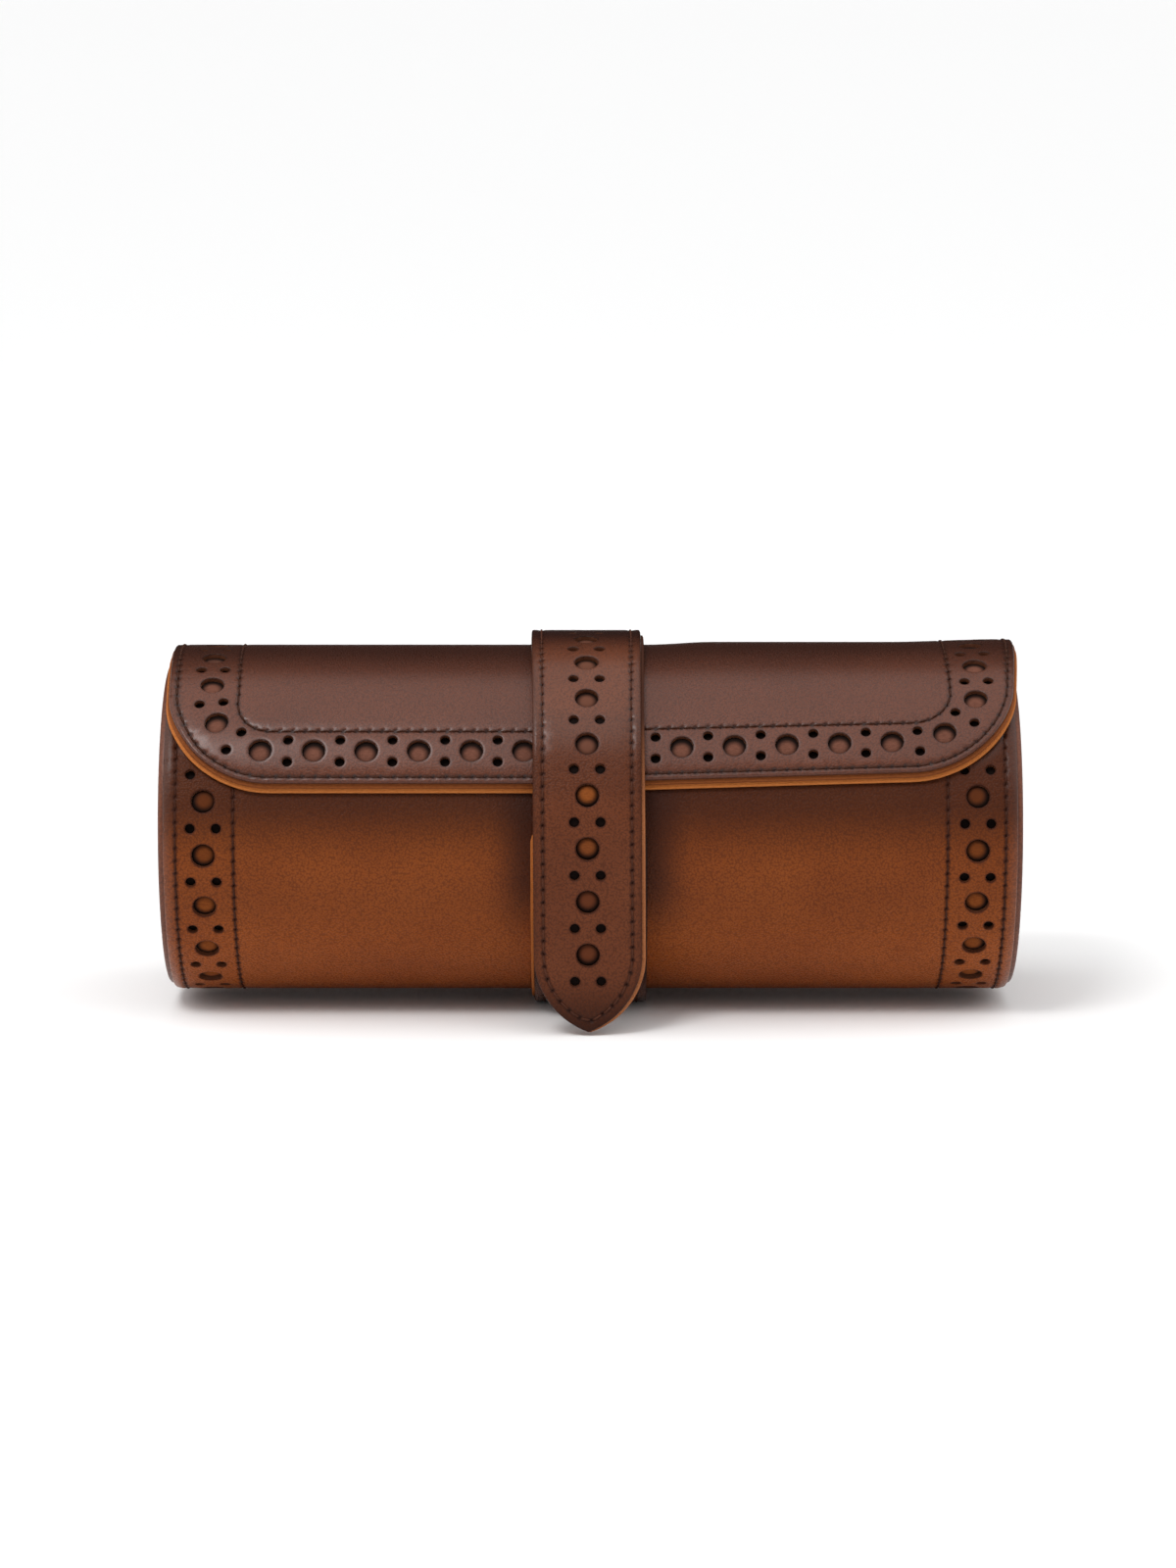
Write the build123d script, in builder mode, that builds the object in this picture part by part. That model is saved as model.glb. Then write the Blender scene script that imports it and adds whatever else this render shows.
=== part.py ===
"""Rolled leather watch case: a round tray with three cushions, a flap over the top and a strap.

The roll lies along X with its front towards -Y and +Z up. The origin is on the face that it
rests on, under its axis. Angles in the end view run from the back (+Y) over the top (+Z) to
the front (180 degrees) and on under the bottom, in degrees. Sizes are in millimetres.
"""
import math
import os

from build123d import *

os.makedirs("parts", exist_ok=True)

# Roll
ROLL_LENGTH = 210.0  # edge to edge of the outer leather
FRONT_RADIUS = 42.0  # outer leather, front and bottom
WRAP_JOIN_ANGLE = 315.0  # where the larger radius takes over, low at the back
LIP_ANGLE = 148.0  # front edge of the tray, under the flap
HINGE_ANGLE = 38.0  # fold between the tray's back wall and the flap
FOLD_GAP = 0.3  # slit at the inside of each fold

# Leather and board thicknesses
LEATHER = 1.2
CASE_BACKING = 0.6
CASE_BOARD = 1.0
CASE_LINING = 0.6
FLAP_CORE = 1.2
FLAP_LINING = 1.0
END_LINING = 0.8
END_BOARD = 2.5
END_COVER = 2.1
END_RIM = 1.3  # how far the end cover stands past the leather's edge
END_RIM_ROUND = 0.6
END_FLAP_GAP = 0.4  # end discs under the closed flap
FLAP_SPACE = 0.3  # and behind its fold, in degrees
LEATHER_EDGE_ROUND = 0.5

# Flap
FLAP_SIDE_INSET = 1.2  # its dark leather inside the ends of the roll
FLAP_LEATHER_ANGLE = 158.9  # front edge of its dark leather
FLAP_GAP = 0.43  # to the tray, under that edge
FLAP_SIDE_STEP = 0.6  # how much further each layer below reaches at the sides
FLAP_FRONT_STEP = 1.4  # and at the front
FLAP_LINE_INSET = 8.9  # hole line at the sides, from the leather's edge
FLAP_LINE_ANGLE = 148.0  # hole line along the front
FLAP_LINE_RADIUS = 16.0  # hole line round the two front corners
FLAP_PITCH = 12.9  # from one large hole to the next
FLAP_PHASE = -3.4  # one large hole's place along the front row
FLAP_PAIR_OFFSET = 2.9  # small holes, each side of the line
FLAP_HINGE_MARGIN = 5.0  # no hole nearer to the fold than this

# Perforations
LARGE_HOLE_RADIUS = 2.85
SMALL_HOLE_RADIUS = 1.2

# Bands at the tray's two ends
BAND_LINE_INSET = 9.9  # hole line from the leather's edge
BAND_PITCH_ANGLE = 18.45
BAND_FIRST_ANGLE = 162.9
BAND_PAIR_OFFSET = 3.2
BAND_MARGIN_ANGLE = 5.0

# Strap over the flap
STRAP_LEATHER = 1.4
STRAP_BACKING = 2.0
STRAP_GAP = 0.3  # between the strap and the closed flap
STRAP_HALF_WIDTH = 13.3
STRAP_BACKING_MARGIN = 0.5
STRAP_FOLD_ANGLE = 58.0  # where the free strap starts
STRAP_SEWN_ANGLE = 45.0  # rear end of its sewn patch on the flap
STRAP_TIP_HEIGHT = 1.0  # tip above the surface that the roll rests on
STRAP_TIP_LENGTH = 19.0  # pointed part
STRAP_BACKING_TIP = 0.3  # how much lower the backing's tip is
STRAP_PITCH = 13.2
STRAP_LAST_HOLE = 20.9  # lowest large hole above the tip
STRAP_HOLE_MARGIN = 6.0  # no hole nearer to the fold than this

# Lower strap under the roll
LOWER_BACKING = 2.0
LOWER_LEATHER = 1.4
LOWER_HALF_WIDTH = 14.0
LOWER_FRONT_ANGLE = 172.0
LOWER_BACK_ANGLE = 380.0
REST_WIDTH = 16.0  # flat underside that the roll rests on

# Closure magnets
MAGNET_RADIUS = 5.0
MAGNET_THICKNESS = 1.0
MAGNET_FIT = 0.1
MAGNET_WALL = 0.5  # leather left between the lower magnet and the tray
MAGNET_DROP = 8.0  # below the roll's axis

# Dividers and cushions. The form gives the cushion's crown: at each share of the way from its
# middle to its end, the share of the full section that is left.
DIVIDER = 3.0
DIVIDER_TOP = 14.0  # above the axis
DIVIDER_FIT = 0.1
CUSHION_MOUTH_GAP = 3.65  # to the tray's mouth, front and back
CUSHION_HEIGHT = 44.0
CUSHION_FLAT = 1.0  # upright stretch of its flanks
CUSHION_END_GAP = 1.6  # to the divider or end on each side
CUSHION_SEAT_GAP = 0.3
CUSHION_FORM = ((0.0, 1.0), (0.58, 0.985), (0.84, 0.94), (0.95, 0.86), (1.0, 0.74))

# Worked out from the sizes above
HALF_LENGTH = ROLL_LENGTH / 2
FLAP_LEATHER_HALF = HALF_LENGTH - FLAP_SIDE_INSET
FLAP_LINE_HALF = FLAP_LEATHER_HALF - FLAP_LINE_INSET
WALL = LEATHER + CASE_BACKING + CASE_BOARD + CASE_LINING
FLAP_THICKNESS = LEATHER + FLAP_CORE + FLAP_LINING
LOWER_RADIUS = FRONT_RADIUS + LOWER_BACKING + LOWER_LEATHER
AXIS_HEIGHT = math.sqrt(LOWER_RADIUS**2 - (REST_WIDTH / 2) ** 2)
# The back and the flap have a larger radius than the front, so that the flap lies over the tray.
FLAP_EDGE_TURN = math.radians(WRAP_JOIN_ANGLE - FLAP_LEATHER_ANGLE)
WRAP_RISE = (FLAP_THICKNESS + FLAP_GAP) / (1 - math.cos(FLAP_EDGE_TURN))
BACK_RADIUS = FRONT_RADIUS + WRAP_RISE
PUNCH_LENGTH = 2.5 * LEATHER
OVERCUT = FRONT_RADIUS
CUTTER = 1.5 * FRONT_RADIUS


def direction(angle):
    """Unit vector of an angle in the end view, as (Y, Z)."""
    return math.cos(math.radians(angle)), math.sin(math.radians(angle))


JOIN_Y, JOIN_Z = direction(WRAP_JOIN_ANGLE)
FRONT_CENTRE = (0.0, AXIS_HEIGHT)
BACK_CENTRE = (-WRAP_RISE * JOIN_Y, AXIS_HEIGHT - WRAP_RISE * JOIN_Z)


def end_view_point(centre, radius, angle):
    """Point of the end view at a radius and an angle about a centre, as (Y, Z)."""
    along_y, along_z = direction(angle)
    return centre[0] + radius * along_y, centre[1] + radius * along_z


def wrap_band(start, end, outer_depth, inner_depth):
    """Section of the tray's wall between two depths below the outer leather."""
    with BuildSketch(Plane.YZ) as band:
        with BuildLine():
            CenterArc(FRONT_CENTRE, FRONT_RADIUS - outer_depth, start, WRAP_JOIN_ANGLE - start)
            CenterArc(BACK_CENTRE, BACK_RADIUS - outer_depth, WRAP_JOIN_ANGLE, end - WRAP_JOIN_ANGLE)
            Line(
                end_view_point(BACK_CENTRE, BACK_RADIUS - outer_depth, end),
                end_view_point(BACK_CENTRE, BACK_RADIUS - inner_depth, end),
            )
            CenterArc(BACK_CENTRE, BACK_RADIUS - inner_depth, WRAP_JOIN_ANGLE, end - WRAP_JOIN_ANGLE)
            CenterArc(FRONT_CENTRE, FRONT_RADIUS - inner_depth, start, WRAP_JOIN_ANGLE - start)
            Line(
                end_view_point(FRONT_CENTRE, FRONT_RADIUS - inner_depth, start),
                end_view_point(FRONT_CENTRE, FRONT_RADIUS - outer_depth, start),
            )
        make_face()
    return band.sketch


def arc_band(start, end, outer_radius, inner_radius):
    """Section of the flap or the strap, about the centre of the back."""
    with BuildSketch(Plane.YZ) as band:
        with BuildLine():
            CenterArc(BACK_CENTRE, outer_radius, start, end - start)
            Line(
                end_view_point(BACK_CENTRE, outer_radius, end),
                end_view_point(BACK_CENTRE, inner_radius, end),
            )
            CenterArc(BACK_CENTRE, inner_radius, start, end - start)
            Line(
                end_view_point(BACK_CENTRE, inner_radius, start),
                end_view_point(BACK_CENTRE, outer_radius, start),
            )
        make_face()
    return band.sketch


def hole_location(x, centre, radius, angle):
    """Location on a curved surface whose Z axis points straight out of it."""
    y, z = end_view_point(centre, radius, angle)
    out_y, out_z = direction(angle)
    return Plane(origin=(x, y, z), x_dir=(1, 0, 0), z_dir=(0, out_y, out_z)).location


def degrees_along(length, radius):
    """Angle that a length covers on a radius, in degrees."""
    return math.degrees(length / radius)


# Tray wall: the perforated outer leather. Its edge is rounded before the holes are punched.
TRAY_END_ANGLE = HINGE_ANGLE + 360 - degrees_along(FOLD_GAP, BACK_RADIUS)

BAND_LARGE = []
BAND_SMALL = []
for side in (-1, 1):
    band_x = side * (HALF_LENGTH - BAND_LINE_INSET)
    angle = BAND_FIRST_ANGLE - BAND_PITCH_ANGLE / 2
    is_pair = True
    while angle < TRAY_END_ANGLE - BAND_MARGIN_ANGLE:
        on_front = angle < WRAP_JOIN_ANGLE
        centre = FRONT_CENTRE if on_front else BACK_CENTRE
        radius = FRONT_RADIUS if on_front else BACK_RADIUS
        if is_pair:
            for offset in (-BAND_PAIR_OFFSET, BAND_PAIR_OFFSET):
                BAND_SMALL.append(hole_location(band_x + offset, centre, radius, angle))
        else:
            BAND_LARGE.append(hole_location(band_x, centre, radius, angle))
        is_pair = not is_pair
        angle += BAND_PITCH_ANGLE / 2

with BuildPart() as case_outer_leather:
    extrude(wrap_band(LIP_ANGLE, TRAY_END_ANGLE, 0, LEATHER), amount=HALF_LENGTH, both=True)
    rim_edges = case_outer_leather.faces().filter_by(Axis.X).edges().filter_by(GeomType.CIRCLE)
    front_edges = rim_edges.filter_by(lambda edge: abs(edge.radius - FRONT_RADIUS) < LEATHER / 4)
    back_edges = rim_edges.filter_by(lambda edge: abs(edge.radius - BACK_RADIUS) < LEATHER / 4)
    fillet(front_edges + back_edges, LEATHER_EDGE_ROUND)
    with Locations(*BAND_LARGE):
        Cylinder(LARGE_HOLE_RADIUS, PUNCH_LENGTH, mode=Mode.SUBTRACT)
    with Locations(*BAND_SMALL):
        Cylinder(SMALL_HOLE_RADIUS, PUNCH_LENGTH, mode=Mode.SUBTRACT)

# Tray wall: the tan leather behind the holes, the stiff board and the lining
END_BOARD_IN = HALF_LENGTH + END_RIM - END_COVER - END_BOARD
END_LINING_IN = END_BOARD_IN - END_LINING

with BuildPart() as case_backing:
    backing_section = wrap_band(LIP_ANGLE, TRAY_END_ANGLE, LEATHER, LEATHER + CASE_BACKING)
    extrude(backing_section, amount=END_BOARD_IN, both=True)

with BuildPart() as case_board:
    board_section = wrap_band(LIP_ANGLE, TRAY_END_ANGLE, LEATHER + CASE_BACKING, WALL - CASE_LINING)
    extrude(board_section, amount=END_BOARD_IN, both=True)

with BuildPart() as case_lining:
    lining_section = wrap_band(LIP_ANGLE, TRAY_END_ANGLE, WALL - CASE_LINING, WALL)
    extrude(lining_section, amount=END_LINING_IN, both=True)


def round_panel(x, depth, thickness):
    """Panel from x outwards that fills the tray to a depth below its leather."""
    with BuildSketch(Plane.YZ.offset(x)) as outline:
        with Locations(FRONT_CENTRE):
            Circle(FRONT_RADIUS - depth)
        with BuildLine():
            rear = CenterArc(
                BACK_CENTRE, BACK_RADIUS - depth, WRAP_JOIN_ANGLE, TRAY_END_ANGLE - WRAP_JOIN_ANGLE
            )
            Line(rear @ 1, BACK_CENTRE)
            Line(BACK_CENTRE, rear @ 0)
        make_face()
    extrude(outline.sketch, amount=thickness)
    under_flap = BACK_RADIUS - FLAP_THICKNESS - END_FLAP_GAP
    flap_space = arc_band(HINGE_ANGLE - FLAP_SPACE, LIP_ANGLE, under_flap + OVERCUT, under_flap)
    extrude(flap_space, amount=ROLL_LENGTH, both=True, mode=Mode.SUBTRACT)


# Round ends: a leather cover outside, a stiff board and a lining disc, on the left and right
for side_name, side in (("left", -1), ("right", 1)):
    with BuildPart() as end_cover:
        cover_in = HALF_LENGTH + END_RIM - END_COVER
        round_panel(side * cover_in, LEATHER, side * END_COVER)
        rim = end_cover.faces().sort_by(Axis.X)[-1 if side > 0 else 0].edges()
        fillet(rim.filter_by(GeomType.CIRCLE), END_RIM_ROUND)
    end_cover.part.label = f"end_cover_{side_name}"
    export_step(end_cover.part, f"parts/end_cover_{side_name}.step")

    with BuildPart() as end_board:
        round_panel(side * END_BOARD_IN, LEATHER, side * END_BOARD)
    end_board.part.label = f"end_board_{side_name}"
    export_step(end_board.part, f"parts/end_board_{side_name}.step")

    with BuildPart() as end_lining:
        round_panel(side * END_LINING_IN, WALL - CASE_LINING, side * END_LINING)
    end_lining.part.label = f"end_lining_{side_name}"
    export_step(end_lining.part, f"parts/end_lining_{side_name}.step")

# Dividers: two upright panels that part the three bays, cut off level below the flap
BAY_LENGTH = (2 * END_LINING_IN - 2 * DIVIDER) / 3
for side_name, side in (("left", -1), ("right", 1)):
    with BuildPart() as divider:
        round_panel(side * BAY_LENGTH / 2, WALL + DIVIDER_FIT, side * DIVIDER)
        with BuildSketch(Plane.XY.offset(AXIS_HEIGHT + DIVIDER_TOP)):
            Rectangle(ROLL_LENGTH, 2 * CUTTER)
        extrude(amount=CUTTER, mode=Mode.SUBTRACT)
    divider.part.label = f"divider_{side_name}"
    export_step(divider.part, f"parts/divider_{side_name}.step")

# Flap: three layers, each one reaching a little further than the layer above it
FLAP_CORNER_RADIUS = FLAP_LINE_INSET + FLAP_LINE_RADIUS


def flap_layer(outer_depth, inner_depth, layer):
    """Draw one flap layer and round its two front corners; layer 0 is the dark leather."""
    half = FLAP_LEATHER_HALF + layer * FLAP_SIDE_STEP
    edge_angle = FLAP_LEATHER_ANGLE + degrees_along(layer * FLAP_FRONT_STEP, BACK_RADIUS)
    corner = FLAP_CORNER_RADIUS + layer * FLAP_SIDE_STEP
    outer_radius = BACK_RADIUS - outer_depth
    inner_radius = BACK_RADIUS - inner_depth
    section = arc_band(HINGE_ANGLE, edge_angle, outer_radius, inner_radius)
    extrude(section, amount=half, both=True)
    view_angle = edge_angle - degrees_along(corner, BACK_RADIUS) / 2
    out_y, out_z = direction(view_angle)
    above = Plane(origin=(0, *BACK_CENTRE), x_dir=(1, 0, 0), z_dir=(0, out_y, out_z))
    centre_down = BACK_RADIUS * math.sin(math.radians(edge_angle - view_angle)) - corner
    with BuildSketch(above) as beyond_corners:
        for side in (-1, 1):
            with Locations((side * (half - corner + CUTTER / 2), -centre_down - CUTTER / 2)):
                Rectangle(CUTTER, CUTTER)
        for side in (-1, 1):
            with Locations((side * (half - corner), -centre_down)):
                Circle(corner, mode=Mode.SUBTRACT)
    extrude(beyond_corners.sketch, amount=BACK_RADIUS + OVERCUT, mode=Mode.SUBTRACT)


def flap_line_place(along, offset):
    """Place on the flap at a distance along its hole line, from the middle, and off it."""
    side = 1 if along >= 0 else -1
    straight = FLAP_LINE_HALF - FLAP_LINE_RADIUS
    turn = min(max((abs(along) - straight) / FLAP_LINE_RADIUS, 0), math.pi / 2)
    up_side = max(abs(along) - straight - FLAP_LINE_RADIUS * math.pi / 2, 0)
    reach = min(abs(along), straight) + (FLAP_LINE_RADIUS + offset) * math.sin(turn)
    rise = FLAP_LINE_RADIUS - (FLAP_LINE_RADIUS + offset) * math.cos(turn) + up_side
    return side * reach, FLAP_LINE_ANGLE - degrees_along(rise, BACK_RADIUS)


FLAP_LARGE = []
FLAP_SMALL = []
FLAP_LAST_ANGLE = HINGE_ANGLE + degrees_along(FLAP_HINGE_MARGIN, BACK_RADIUS)
LINE_HALF = FLAP_LINE_HALF + BACK_RADIUS * math.radians(FLAP_LINE_ANGLE - HINGE_ANGLE)
for step in range(-int(2 * LINE_HALF / FLAP_PITCH), int(2 * LINE_HALF / FLAP_PITCH) + 1):
    along = FLAP_PHASE + step * FLAP_PITCH / 2
    offsets = (0,) if step % 2 == 0 else (-FLAP_PAIR_OFFSET, FLAP_PAIR_OFFSET)
    for offset in offsets:
        x, angle = flap_line_place(along, offset)
        if angle > FLAP_LAST_ANGLE:
            punched = FLAP_LARGE if step % 2 == 0 else FLAP_SMALL
            punched.append(hole_location(x, BACK_CENTRE, BACK_RADIUS, angle))

with BuildPart() as flap_outer_leather:
    flap_layer(0, LEATHER, 0)
    with Locations(*FLAP_LARGE):
        Cylinder(LARGE_HOLE_RADIUS, PUNCH_LENGTH, mode=Mode.SUBTRACT)
    with Locations(*FLAP_SMALL):
        Cylinder(SMALL_HOLE_RADIUS, PUNCH_LENGTH, mode=Mode.SUBTRACT)

with BuildPart() as flap_core:
    flap_layer(LEATHER, LEATHER + FLAP_CORE, 1)

with BuildPart() as flap_lining:
    flap_layer(LEATHER + FLAP_CORE, FLAP_THICKNESS, 2)

# Strap: a pointed tongue that runs over the flap and hangs straight down in front
STRAP_OVER_LOWER = LOWER_RADIUS + BACK_CENTRE[0]  # what the lower strap asks for in front
STRAP_INNER_RADIUS = max(BACK_RADIUS, STRAP_OVER_LOWER) + STRAP_GAP
STRAP_MIDDLE_RADIUS = STRAP_INNER_RADIUS + STRAP_BACKING
STRAP_OUTER_RADIUS = STRAP_MIDDLE_RADIUS + STRAP_LEATHER
STRAP_START_ANGLE = STRAP_FOLD_ANGLE + degrees_along(FOLD_GAP, STRAP_OUTER_RADIUS)
STRAP_PUNCH_LENGTH = 2.2 * STRAP_LEATHER


def strap_layer(outer_radius, inner_radius, half_width, tip_height):
    """Draw one layer of the strap and cut it to its pointed outline."""
    front_outer = BACK_CENTRE[0] - outer_radius
    front_inner = BACK_CENTRE[0] - inner_radius
    over = 180 - STRAP_START_ANGLE
    with BuildSketch(Plane.YZ) as section:
        with BuildLine():
            over_outer = CenterArc(BACK_CENTRE, outer_radius, STRAP_START_ANGLE, over)
            over_inner = CenterArc(BACK_CENTRE, inner_radius, STRAP_START_ANGLE, over)
            Line(over_outer @ 0, over_inner @ 0)
            Polyline(
                over_outer @ 1, (front_outer, tip_height), (front_inner, tip_height), over_inner @ 1
            )
        make_face()
    extrude(section.sketch, amount=half_width, both=True)
    shoulder = tip_height + STRAP_TIP_LENGTH
    with BuildSketch(Plane.XZ) as front_view:
        with BuildLine():
            Polyline(
                (half_width, shoulder), (half_width, 2 * CUTTER), (-half_width, 2 * CUTTER),
                (-half_width, shoulder),
            )
            TangentArc((half_width, shoulder), (0, tip_height), tangent=(0, -1))
            TangentArc((-half_width, shoulder), (0, tip_height), tangent=(0, -1))
        make_face()
    extrude(front_view.sketch, amount=2 * CUTTER, both=True, mode=Mode.INTERSECT)


STRAP_LARGE = []
STRAP_SMALL = []
STRAP_STRAIGHT = BACK_CENTRE[1] - STRAP_TIP_HEIGHT  # from the tip up to where the arc starts
STRAP_ARC = STRAP_OUTER_RADIUS * math.radians(180 - STRAP_START_ANGLE)
FIRST_PAIR = STRAP_LAST_HOLE - STRAP_PITCH / 2
STRAP_STEPS = int((STRAP_STRAIGHT + STRAP_ARC - STRAP_HOLE_MARGIN - FIRST_PAIR) / (STRAP_PITCH / 2))
for step in range(STRAP_STEPS + 1):
    along = FIRST_PAIR + step * STRAP_PITCH / 2
    is_pair = step % 2 == 0
    for offset in (-BAND_PAIR_OFFSET, BAND_PAIR_OFFSET) if is_pair else (0,):
        if along > STRAP_STRAIGHT:
            hole_angle = 180 - degrees_along(along - STRAP_STRAIGHT, STRAP_OUTER_RADIUS)
            place = hole_location(offset, BACK_CENTRE, STRAP_OUTER_RADIUS, hole_angle)
        else:
            beside = (BACK_CENTRE[0], STRAP_TIP_HEIGHT + along)
            place = hole_location(offset, beside, STRAP_OUTER_RADIUS, 180)
        punched = STRAP_SMALL if is_pair else STRAP_LARGE
        punched.append(place)

MAGNET_HEIGHT = AXIS_HEIGHT - MAGNET_DROP
STRAP_MAGNET_FACE = BACK_CENTRE[0] - STRAP_MIDDLE_RADIUS
POCKET_DEPTH = MAGNET_THICKNESS + MAGNET_FIT

with BuildPart() as strap_outer_leather:
    strap_layer(STRAP_OUTER_RADIUS, STRAP_MIDDLE_RADIUS, STRAP_HALF_WIDTH, STRAP_TIP_HEIGHT)
    with Locations(*STRAP_LARGE):
        Cylinder(LARGE_HOLE_RADIUS, STRAP_PUNCH_LENGTH, mode=Mode.SUBTRACT)
    with Locations(*STRAP_SMALL):
        Cylinder(SMALL_HOLE_RADIUS, STRAP_PUNCH_LENGTH, mode=Mode.SUBTRACT)

with BuildPart() as strap_backing:
    strap_layer(
        STRAP_MIDDLE_RADIUS,
        STRAP_INNER_RADIUS,
        STRAP_HALF_WIDTH + STRAP_BACKING_MARGIN,
        STRAP_TIP_HEIGHT - STRAP_BACKING_TIP,
    )
    with BuildSketch(Plane.XZ.offset(-STRAP_MAGNET_FACE)):
        with Locations((0, MAGNET_HEIGHT)):
            Circle(MAGNET_RADIUS + MAGNET_FIT)
    extrude(amount=-POCKET_DEPTH, mode=Mode.SUBTRACT)

with BuildPart() as strap_magnet:
    with BuildSketch(Plane.XZ.offset(-STRAP_MAGNET_FACE)):
        with Locations((0, MAGNET_HEIGHT)):
            Circle(MAGNET_RADIUS)
    extrude(amount=-MAGNET_THICKNESS)

# Sewn patch: the strap's rear end, stitched down on the flap
with BuildPart() as strap_patch_leather:
    patch_section = arc_band(
        STRAP_SEWN_ANGLE, STRAP_FOLD_ANGLE, STRAP_OUTER_RADIUS, STRAP_MIDDLE_RADIUS
    )
    extrude(patch_section, amount=STRAP_HALF_WIDTH, both=True)

with BuildPart() as strap_patch_backing:
    under_patch = arc_band(STRAP_SEWN_ANGLE, STRAP_FOLD_ANGLE, STRAP_MIDDLE_RADIUS, BACK_RADIUS)
    extrude(under_patch, amount=STRAP_HALF_WIDTH + STRAP_BACKING_MARGIN, both=True)

# Lower strap: sewn round the back and bottom of the tray, with the second magnet in front
MAGNET_ANGLE = 180 + math.degrees(math.asin(MAGNET_DROP / FRONT_RADIUS))
UNDER_LOWER_LEATHER = FRONT_RADIUS + LOWER_BACKING - MAGNET_FIT
DEEPEST_POCKET = math.sqrt(UNDER_LOWER_LEATHER**2 - MAGNET_RADIUS**2) - MAGNET_THICKNESS
LOWER_POCKET_RADIUS = min(FRONT_RADIUS + MAGNET_WALL, DEEPEST_POCKET)
POCKET_PLACE = hole_location(0, FRONT_CENTRE, LOWER_POCKET_RADIUS, MAGNET_ANGLE)

with BuildPart() as lower_strap_backing:
    inner_layer = wrap_band(LOWER_FRONT_ANGLE, LOWER_BACK_ANGLE, -LOWER_BACKING, 0)
    extrude(inner_layer, amount=LOWER_HALF_WIDTH, both=True)
    with Locations(POCKET_PLACE):
        Cylinder(
            MAGNET_RADIUS + MAGNET_FIT,
            LOWER_BACKING,
            align=(Align.CENTER, Align.CENTER, Align.MIN),
            mode=Mode.SUBTRACT,
        )

with BuildPart() as lower_strap_magnet:
    with Locations(POCKET_PLACE):
        Cylinder(MAGNET_RADIUS, MAGNET_THICKNESS, align=(Align.CENTER, Align.CENTER, Align.MIN))

with BuildPart() as lower_strap_leather:
    outer_layer = wrap_band(
        LOWER_FRONT_ANGLE, LOWER_BACK_ANGLE, -LOWER_BACKING - LOWER_LEATHER, -LOWER_BACKING
    )
    extrude(outer_layer, amount=LOWER_HALF_WIDTH, both=True)
    with BuildSketch(Plane.XY):
        Rectangle(CUTTER, CUTTER)
    extrude(amount=-CUTTER, mode=Mode.SUBTRACT)

# Cushions: oval pads, crowned in the middle of their length and drawn in towards both ends.
# The round flanks sit in the round tray, so the seat height follows from both radii.
CUSHION_HALF = BAY_LENGTH / 2 - CUSHION_END_GAP
MOUTH_FRONT = end_view_point(FRONT_CENTRE, FRONT_RADIUS - WALL, LIP_ANGLE)[0]
MOUTH_BACK = end_view_point(BACK_CENTRE, BACK_RADIUS - WALL, HINGE_ANGLE)[0]
CUSHION_MIDDLE = (MOUTH_FRONT + MOUTH_BACK) / 2
CUSHION_WIDTH = MOUTH_BACK - MOUTH_FRONT - 2 * CUSHION_MOUTH_GAP
CUSHION_ROUND = (min(CUSHION_HEIGHT, CUSHION_WIDTH) - CUSHION_FLAT) / 2
FLANK_OUT = CUSHION_WIDTH / 2 - CUSHION_ROUND + abs(CUSHION_MIDDLE)
FLANK_REACH = FRONT_RADIUS - WALL - CUSHION_SEAT_GAP - CUSHION_ROUND
FLANK_DROP = math.sqrt(FLANK_REACH**2 - FLANK_OUT**2)
CUSHION_CENTRE = AXIS_HEIGHT - FLANK_DROP + (CUSHION_HEIGHT / 2 - CUSHION_ROUND)

for bay_name, bay in (("left", -1), ("centre", 0), ("right", 1)):
    bay_x = bay * (BAY_LENGTH + DIVIDER)
    sections = [(-reach, size) for reach, size in reversed(CUSHION_FORM[1:])] + list(CUSHION_FORM)
    with BuildPart() as cushion:
        for reach, size in sections:
            with BuildSketch(Plane.YZ.offset(bay_x + reach * CUSHION_HALF)):
                with Locations((CUSHION_MIDDLE, CUSHION_CENTRE)):
                    RectangleRounded(CUSHION_WIDTH * size, CUSHION_HEIGHT * size, CUSHION_ROUND * size)
        loft()
    cushion.part.label = f"cushion_{bay_name}"
    export_step(cushion.part, f"parts/cushion_{bay_name}.step")

PIECES = {
    "case_outer_leather": case_outer_leather,
    "case_backing": case_backing,
    "case_board": case_board,
    "case_lining": case_lining,
    "flap_outer_leather": flap_outer_leather,
    "flap_core": flap_core,
    "flap_lining": flap_lining,
    "strap_outer_leather": strap_outer_leather,
    "strap_backing": strap_backing,
    "strap_magnet": strap_magnet,
    "strap_patch_leather": strap_patch_leather,
    "strap_patch_backing": strap_patch_backing,
    "lower_strap_backing": lower_strap_backing,
    "lower_strap_leather": lower_strap_leather,
    "lower_strap_magnet": lower_strap_magnet,
}
for piece_name, piece in PIECES.items():
    piece.part.label = piece_name
    export_step(piece.part, f"parts/{piece_name}.step")

HINGE_Y, HINGE_Z = end_view_point(BACK_CENTRE, BACK_RADIUS, HINGE_ANGLE)
FOLD_Y, FOLD_Z = end_view_point(BACK_CENTRE, STRAP_OUTER_RADIUS, STRAP_FOLD_ANGLE)
print(f"flap hinge y {HINGE_Y:.2f} z {HINGE_Z:.2f}")
print(f"strap fold y {FOLD_Y:.2f} z {FOLD_Z:.2f}")
print(f"axis height {AXIS_HEIGHT:.3f}, cushion top {CUSHION_CENTRE + CUSHION_HEIGHT / 2:.2f}")
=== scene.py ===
"""Looks of a rolled leather watch case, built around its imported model.

Lengths are in metres. The roll lies along X with its front towards -Y. Angles in the end view run
from the back over the top to the front and on under the bottom, in degrees, as in the model.
"""
import math

import bmesh
import bpy
import numpy as np
from mathutils import Matrix, Vector, bvhtree, geometry, kdtree


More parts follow.
